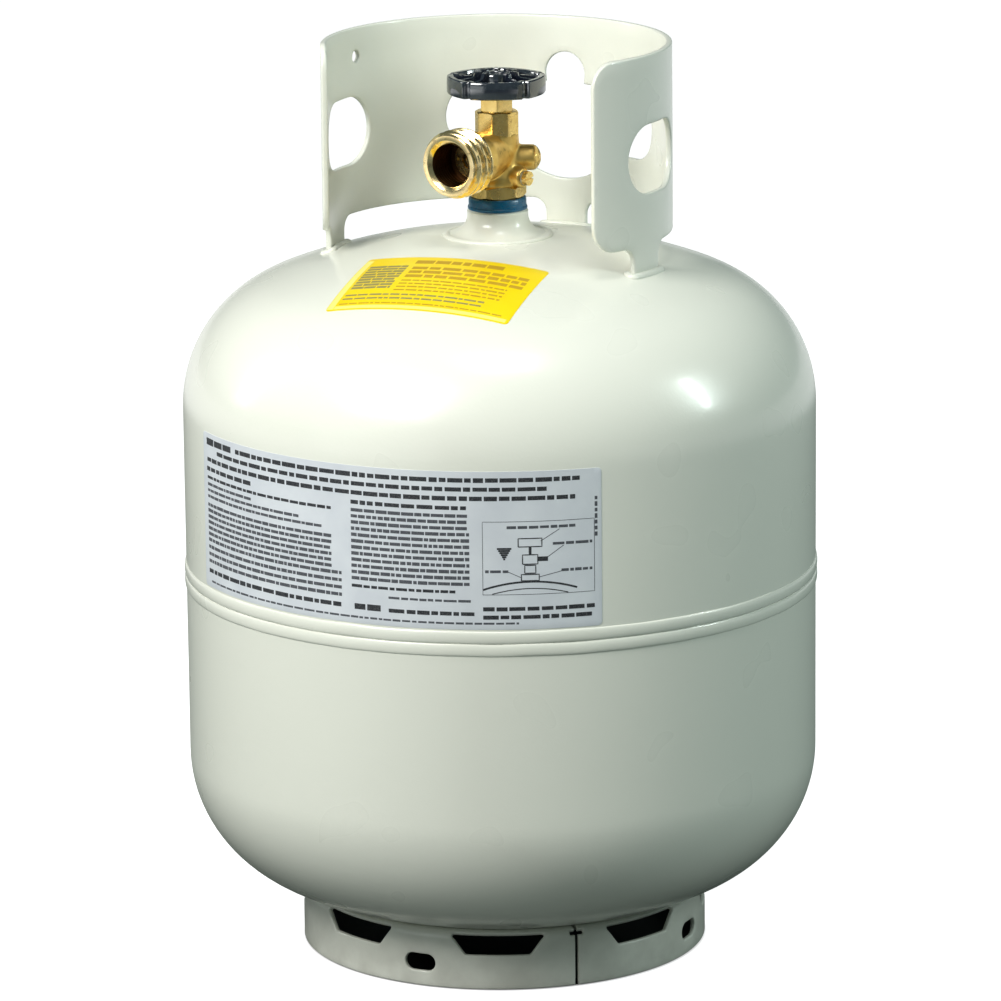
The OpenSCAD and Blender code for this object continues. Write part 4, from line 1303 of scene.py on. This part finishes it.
def wheel_radius(angle):
    """Outline of the five broad lobes; angle 0 is the middle of one."""
    span = TAU / LOBES
    a = (angle + span / 2) % span - span / 2
    lobe_r, back = 34, 10.4
    r = -back * cos(a) + sqrt(lobe_r ** 2 - (back * sin(a)) ** 2)
    distance = 24.6 * (span / 2 - abs(a))
    dip = 2.5 * exp(-(distance / 1.55) ** 4)
    return r - dip


def wheel_ring(angle):
    """One section of the rim: rounded corners outside, a dished deck inside."""
    top, base = WHEEL_Z + WHEEL_H, WHEEL_Z
    inner, out = 5.2, wheel_radius(angle)
    return [(inner, base + 1.5), (out - 4.4, base + 1.5), (out - 4.1, base + 0.3), (out - 3.8, base),
            (out - 0.8, base), (out - 0.25, base + 0.2), (out, base + 0.75), (out + 0.05, base + WHEEL_H / 2),
            (out - 0.05, top - 1.0), (out - 0.35, top - 0.35), (out - 1.0, top), (out - 2.9, top - 0.05),
            (out - 3.5, top - 0.4), (out - 3.8, top - 1.2), (out - 4.4, base + 3.6), (inner, base + 3.4)]


def handwheel():
    """The rim with its deck, the hub and ten ribs."""
    top = WHEEL_Z + WHEEL_H + 1.2
    hub = [(3.6, WHEEL_Z + 0.3), (7.6, WHEEL_Z + 0.3), (8, WHEEL_Z + 0.7), (8, top - 0.8), (7.7, top - 0.2),
           (7.1, top), (5.4, top), (4.9, top - 0.5), (4.8, WHEEL_Z + 6.6), (3.6, WHEEL_Z + 6.4)]
    parts = Parts().add(turned_rings(360, wheel_ring)).add(lathe(hub, 96))
    for azimuth in range(0, 360, 36):
        parts.add(wheel_rib(), turned(azimuth))
    return parts


def wheel_rib():
    """A radial rib: it stands tall beside the hub and slopes down to the rim."""
    top = WHEEL_Z + WHEEL_H
    profile = [(7.2, WHEEL_Z + 3), (7.2, top + 1.9), (7.6, top + 2.3), (10.6, top + 2.3), (11.1, top + 1.9),
               (11.6, top + 0.2), (12.4, top - 0.4), (20.2, top - 1.3), (20.6, WHEEL_Z + 3)]
    half = 1.05
    return prism(*([(side * (half - 0.2 * (z > top - 1.4)), -y, z) for y, z in profile] for side in (-1, 1)))


def wheel_screw():
    """A cheese-head screw with a driver slot, sunk in the hub."""
    seat = WHEEL_Z + WHEEL_H - 2.0
    slot_floor, top, half = seat + 1.2, seat + 2.3, 0.55

    def slotted(angle, r, z):
        inside_slot = z > slot_floor and abs(r * sin(angle)) < half
        return (r, slot_floor) if inside_slot else (r, z)

    head = [(0, seat), (3.6, seat), (3.9, seat + 0.2), (3.95, seat + 1.5), (3.7, seat + 2.0)]
    head += [(3.4 - 0.2 * i, top - 0.25 + 0.25 * i / 16) for i in range(17)] + [(0, top)]
    shaft = [(0, seat - 8.4), (1.2, seat - 8.4), (1.45, seat - 8.1), (1.45, seat + 0.3), (0, seat + 0.3)]
    return Parts().add(lathe(head, 240, slotted)).add(lathe(shaft, 40))


made("handwheel_moulding", handwheel(), "handwheel", 28).data.transform(turned(WHEEL_AZ))
made("handwheel_cap_screw", wheel_screw(), "handwheel_screw", 28)


# ---- Springs and the parts kept from the CAD ----

def coil(radius, wire, height, turns):
    """A round-wire spring with closed, ground ends, along +Z from 0 to height."""
    path = []
    count = int(turns * 40)
    for a, rise in zip(evenly(0, TAU * turns, count), evenly(wire, height - wire, count)):
        side = Vector((cos(a), sin(a), 0))
        path.append((Vector((radius * cos(a), radius * sin(a), rise)), side, Vector((0, 0, 1))))
    ring = arc(0, 0, wire, 0, TAU, 14)[:-1]
    return tube_along(path, lambda i: ring)


OUTWARDS = Matrix.Identity(4)
INWARDS = Matrix.Rotation(pi, 4, "X")


def spring(name, node, fixed_end, facing, length, radius, wire, turns):
    """A coil from its fixed end to a moving head."""
    place = turned(VALVE_AZ) @ fixed_end @ facing
    piece = made(name, Parts().add(coil(radius, wire, length, turns), place), node, 60)
    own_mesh(piece)


spring("check_coil", "check_spring", along(0, OUTLET_Z, 12.05), OUTWARDS, 6.3, 5, 0.35, 3)
spring("relief_coil", "relief_spring", along(RELIEF_AZ, RELIEF_Z, 19.45), INWARDS, 5.2,
       2.5, 0.3, 5)

for kept_node, kept_slot in SLOTS.items():
    kept = frame["nodes"][kept_node]
    if kept.hide_render:
        continue
    for spot in kept.material_slots:
        spot.link = "OBJECT"
        spot.material = FINISHES[kept_slot]
    if not kept.material_slots:
        kept.data.materials.append(FINISHES[kept_slot])


# ---- Studio and camera ----

FLOOR_SEEN = (0.62, 0.62, 0.615)
FLOOR_BOUNCE = (0.172, 0.205, 0.192)
FLOOR_GLOW = 0.92
FLOOR_REFLECTION_GLOW = 0.85             # painted reflection: how strongly the floor glows far out, seen by glossy rays only
FLOOR_SHADE = 0.38             # how much of the bounce is left beside the foot ring
CAMERA_AZ = 24.5
CAMERA_REACH = 3.0356          # metres from the axis
CAMERA_Z = 0.9474
ROOM_TINT = (0.78, 1.0, 0.98)
ROOM_LIGHT = 0.165
SOFT_BOXES = [                 # name, azimuth, distance, height, size, watts, colour
    ("key_box", -18, 1.45, 1.45, (0.8, 0.8), 34.8, (1, 0.985, 0.955)),
    ("left_strip", -80, 1.7, 0.9, (0.2, 0.9), 3.6, (1, 1, 0.98)),
    ("front_card", -20, 1.9, 0.45, (1.6, 0.8), 3.2, (0.97, 1, 0.98)),
    ("right_strip", 104, 1.5, 0.95, (0.12, 0.6), 10, (0.88, 1, 0.97)),
    ("top_box", 30, 0.5, 2.1, (0.5, 0.5), 7, (1, 0.995, 0.975)),
]


def studio():
    """A pale floor that runs to the horizon, soft boxes and a dim, slightly green room."""
    look = Look("studio_floor", Roughness=0.6)
    ray = look.node("LightPath").outputs
    seen = ray["Is Camera Ray"]
    pale = look.blend(look.spread(look.noise(400, 3), 0, 1), FLOOR_SEEN, tuple(0.985 * c for c in FLOOR_SEEN))
    look.set("Emission Color", (1, 1, 1))
    middle = look.node("VectorMath", {0: look.place, 1: [1, 1, 0]}, operation="MULTIPLY")
    reach = look.node("VectorMath", {0: middle.outputs[0]}, operation="LENGTH").outputs["Value"]
    shaded = look.spread(reach, 1 - FLOOR_SHADE, 0, (0.15, 0.38))
    bounce = look.blend(shaded, FLOOR_BOUNCE, (0, 0, 0))
    # Painted shade: inside the foot ring the floor is black for every ray, with no glow and no bounce.
    outside = look.spread(reach, 0, FLOOR_GLOW, (FOOT_R * MM - 0.003, FOOT_R * MM + 0.001))
    look.set("Base Color", look.blend(outside, (0, 0, 0), look.blend(seen, bounce, pale)))
    # Painted reflection: glossy rays see the floor glow far out and to the sides, though no lamp is there;
    # camera rays do not see it.
    far_glow = look.math("MULTIPLY", look.spread(reach, 0, 1, (1.25, 1.6)), FLOOR_REFLECTION_GLOW / FLOOR_GLOW)
    toward = look.node("VectorMath", {0: middle.outputs[0], 1: along(CAMERA_AZ, 0).col[2].to_3d()},
                       operation="DOT_PRODUCT").outputs["Value"]
    aside = look.spread(look.math("DIVIDE", toward, reach), 1, 0.06, (0.72, 0.95))
    shine = look.math("MULTIPLY", look.math("MULTIPLY", ray["Is Glossy Ray"], far_glow), aside)
    look.set("Emission Strength", look.math("MULTIPLY", look.math("ADD", seen, shine), outside))
    below = look.node("NewGeometry").outputs["Backfacing"]
    look.set("Alpha", look.math("SUBTRACT", 1.0, below))
    bpy.ops.mesh.primitive_plane_add(size=60, location=(0, 0, -0.0004))
    floor = bpy.context.object
    floor.name = "studio_floor"
    floor.data.materials.append(look.material)

    world = bpy.data.worlds.new("soft_room")
    bpy.context.scene.world = world
    world.use_nodes = True
    nodes, links = world.node_tree.nodes, world.node_tree.links
    room = nodes["Background"]
    room.inputs[0].default_value = (*ROOM_TINT, 1)
    room.inputs[1].default_value = ROOM_LIGHT
    backdrop = nodes.new("ShaderNodeBackground")
    backdrop.inputs[0].default_value = (1, 1, 1, 1)
    chosen = nodes.new("ShaderNodeMixShader")
    links.new(nodes.new("ShaderNodeLightPath").outputs["Is Camera Ray"], chosen.inputs[0])
    links.new(room.outputs[0], chosen.inputs[1])
    links.new(backdrop.outputs[0], chosen.inputs[2])
    links.new(chosen.outputs[0], nodes["World Output"].inputs[0])

    for name, azimuth, distance, height, size, power, colour in SOFT_BOXES:
        light = bpy.data.lights.new(name, "AREA")
        light.shape = "RECTANGLE"
        light.size, light.size_y = size
        light.energy = power
        light.color = colour
        lamp = linked(name, light)
        lamp.location = polar(distance, radians(azimuth), height)
        aim = Vector((0, 0, 0.25)) - lamp.location
        lamp.rotation_euler = aim.to_track_quat("-Z", "Y").to_euler()


def camera():
    """The photograph's view: low over the floor, a little right of the collar's opening."""
    azimuth = radians(CAMERA_AZ)
    pitch, roll = radians(13.462), radians(-0.577)
    data = bpy.data.cameras.new("camera")
    data.sensor_width = 36
    data.lens = 227.4
    eye = linked("camera", data)
    level = Vector((-sin(azimuth), cos(azimuth), 0))
    forward = level * cos(pitch) - Vector((0, 0, sin(pitch)))
    right = level.cross(Vector((0, 0, 1)))
    up = right.cross(forward)
    leaned = right * cos(roll) + up * sin(roll)
    eye.matrix_world = Matrix((leaned, leaned.cross(forward), -forward)).transposed().to_4x4()
    eye.location = polar(CAMERA_REACH, azimuth, CAMERA_Z)
    bpy.context.scene.camera = eye


studio()
camera()
bpy.context.scene.view_settings.view_transform = "Standard"
bpy.context.scene.view_settings.gamma = 0.92
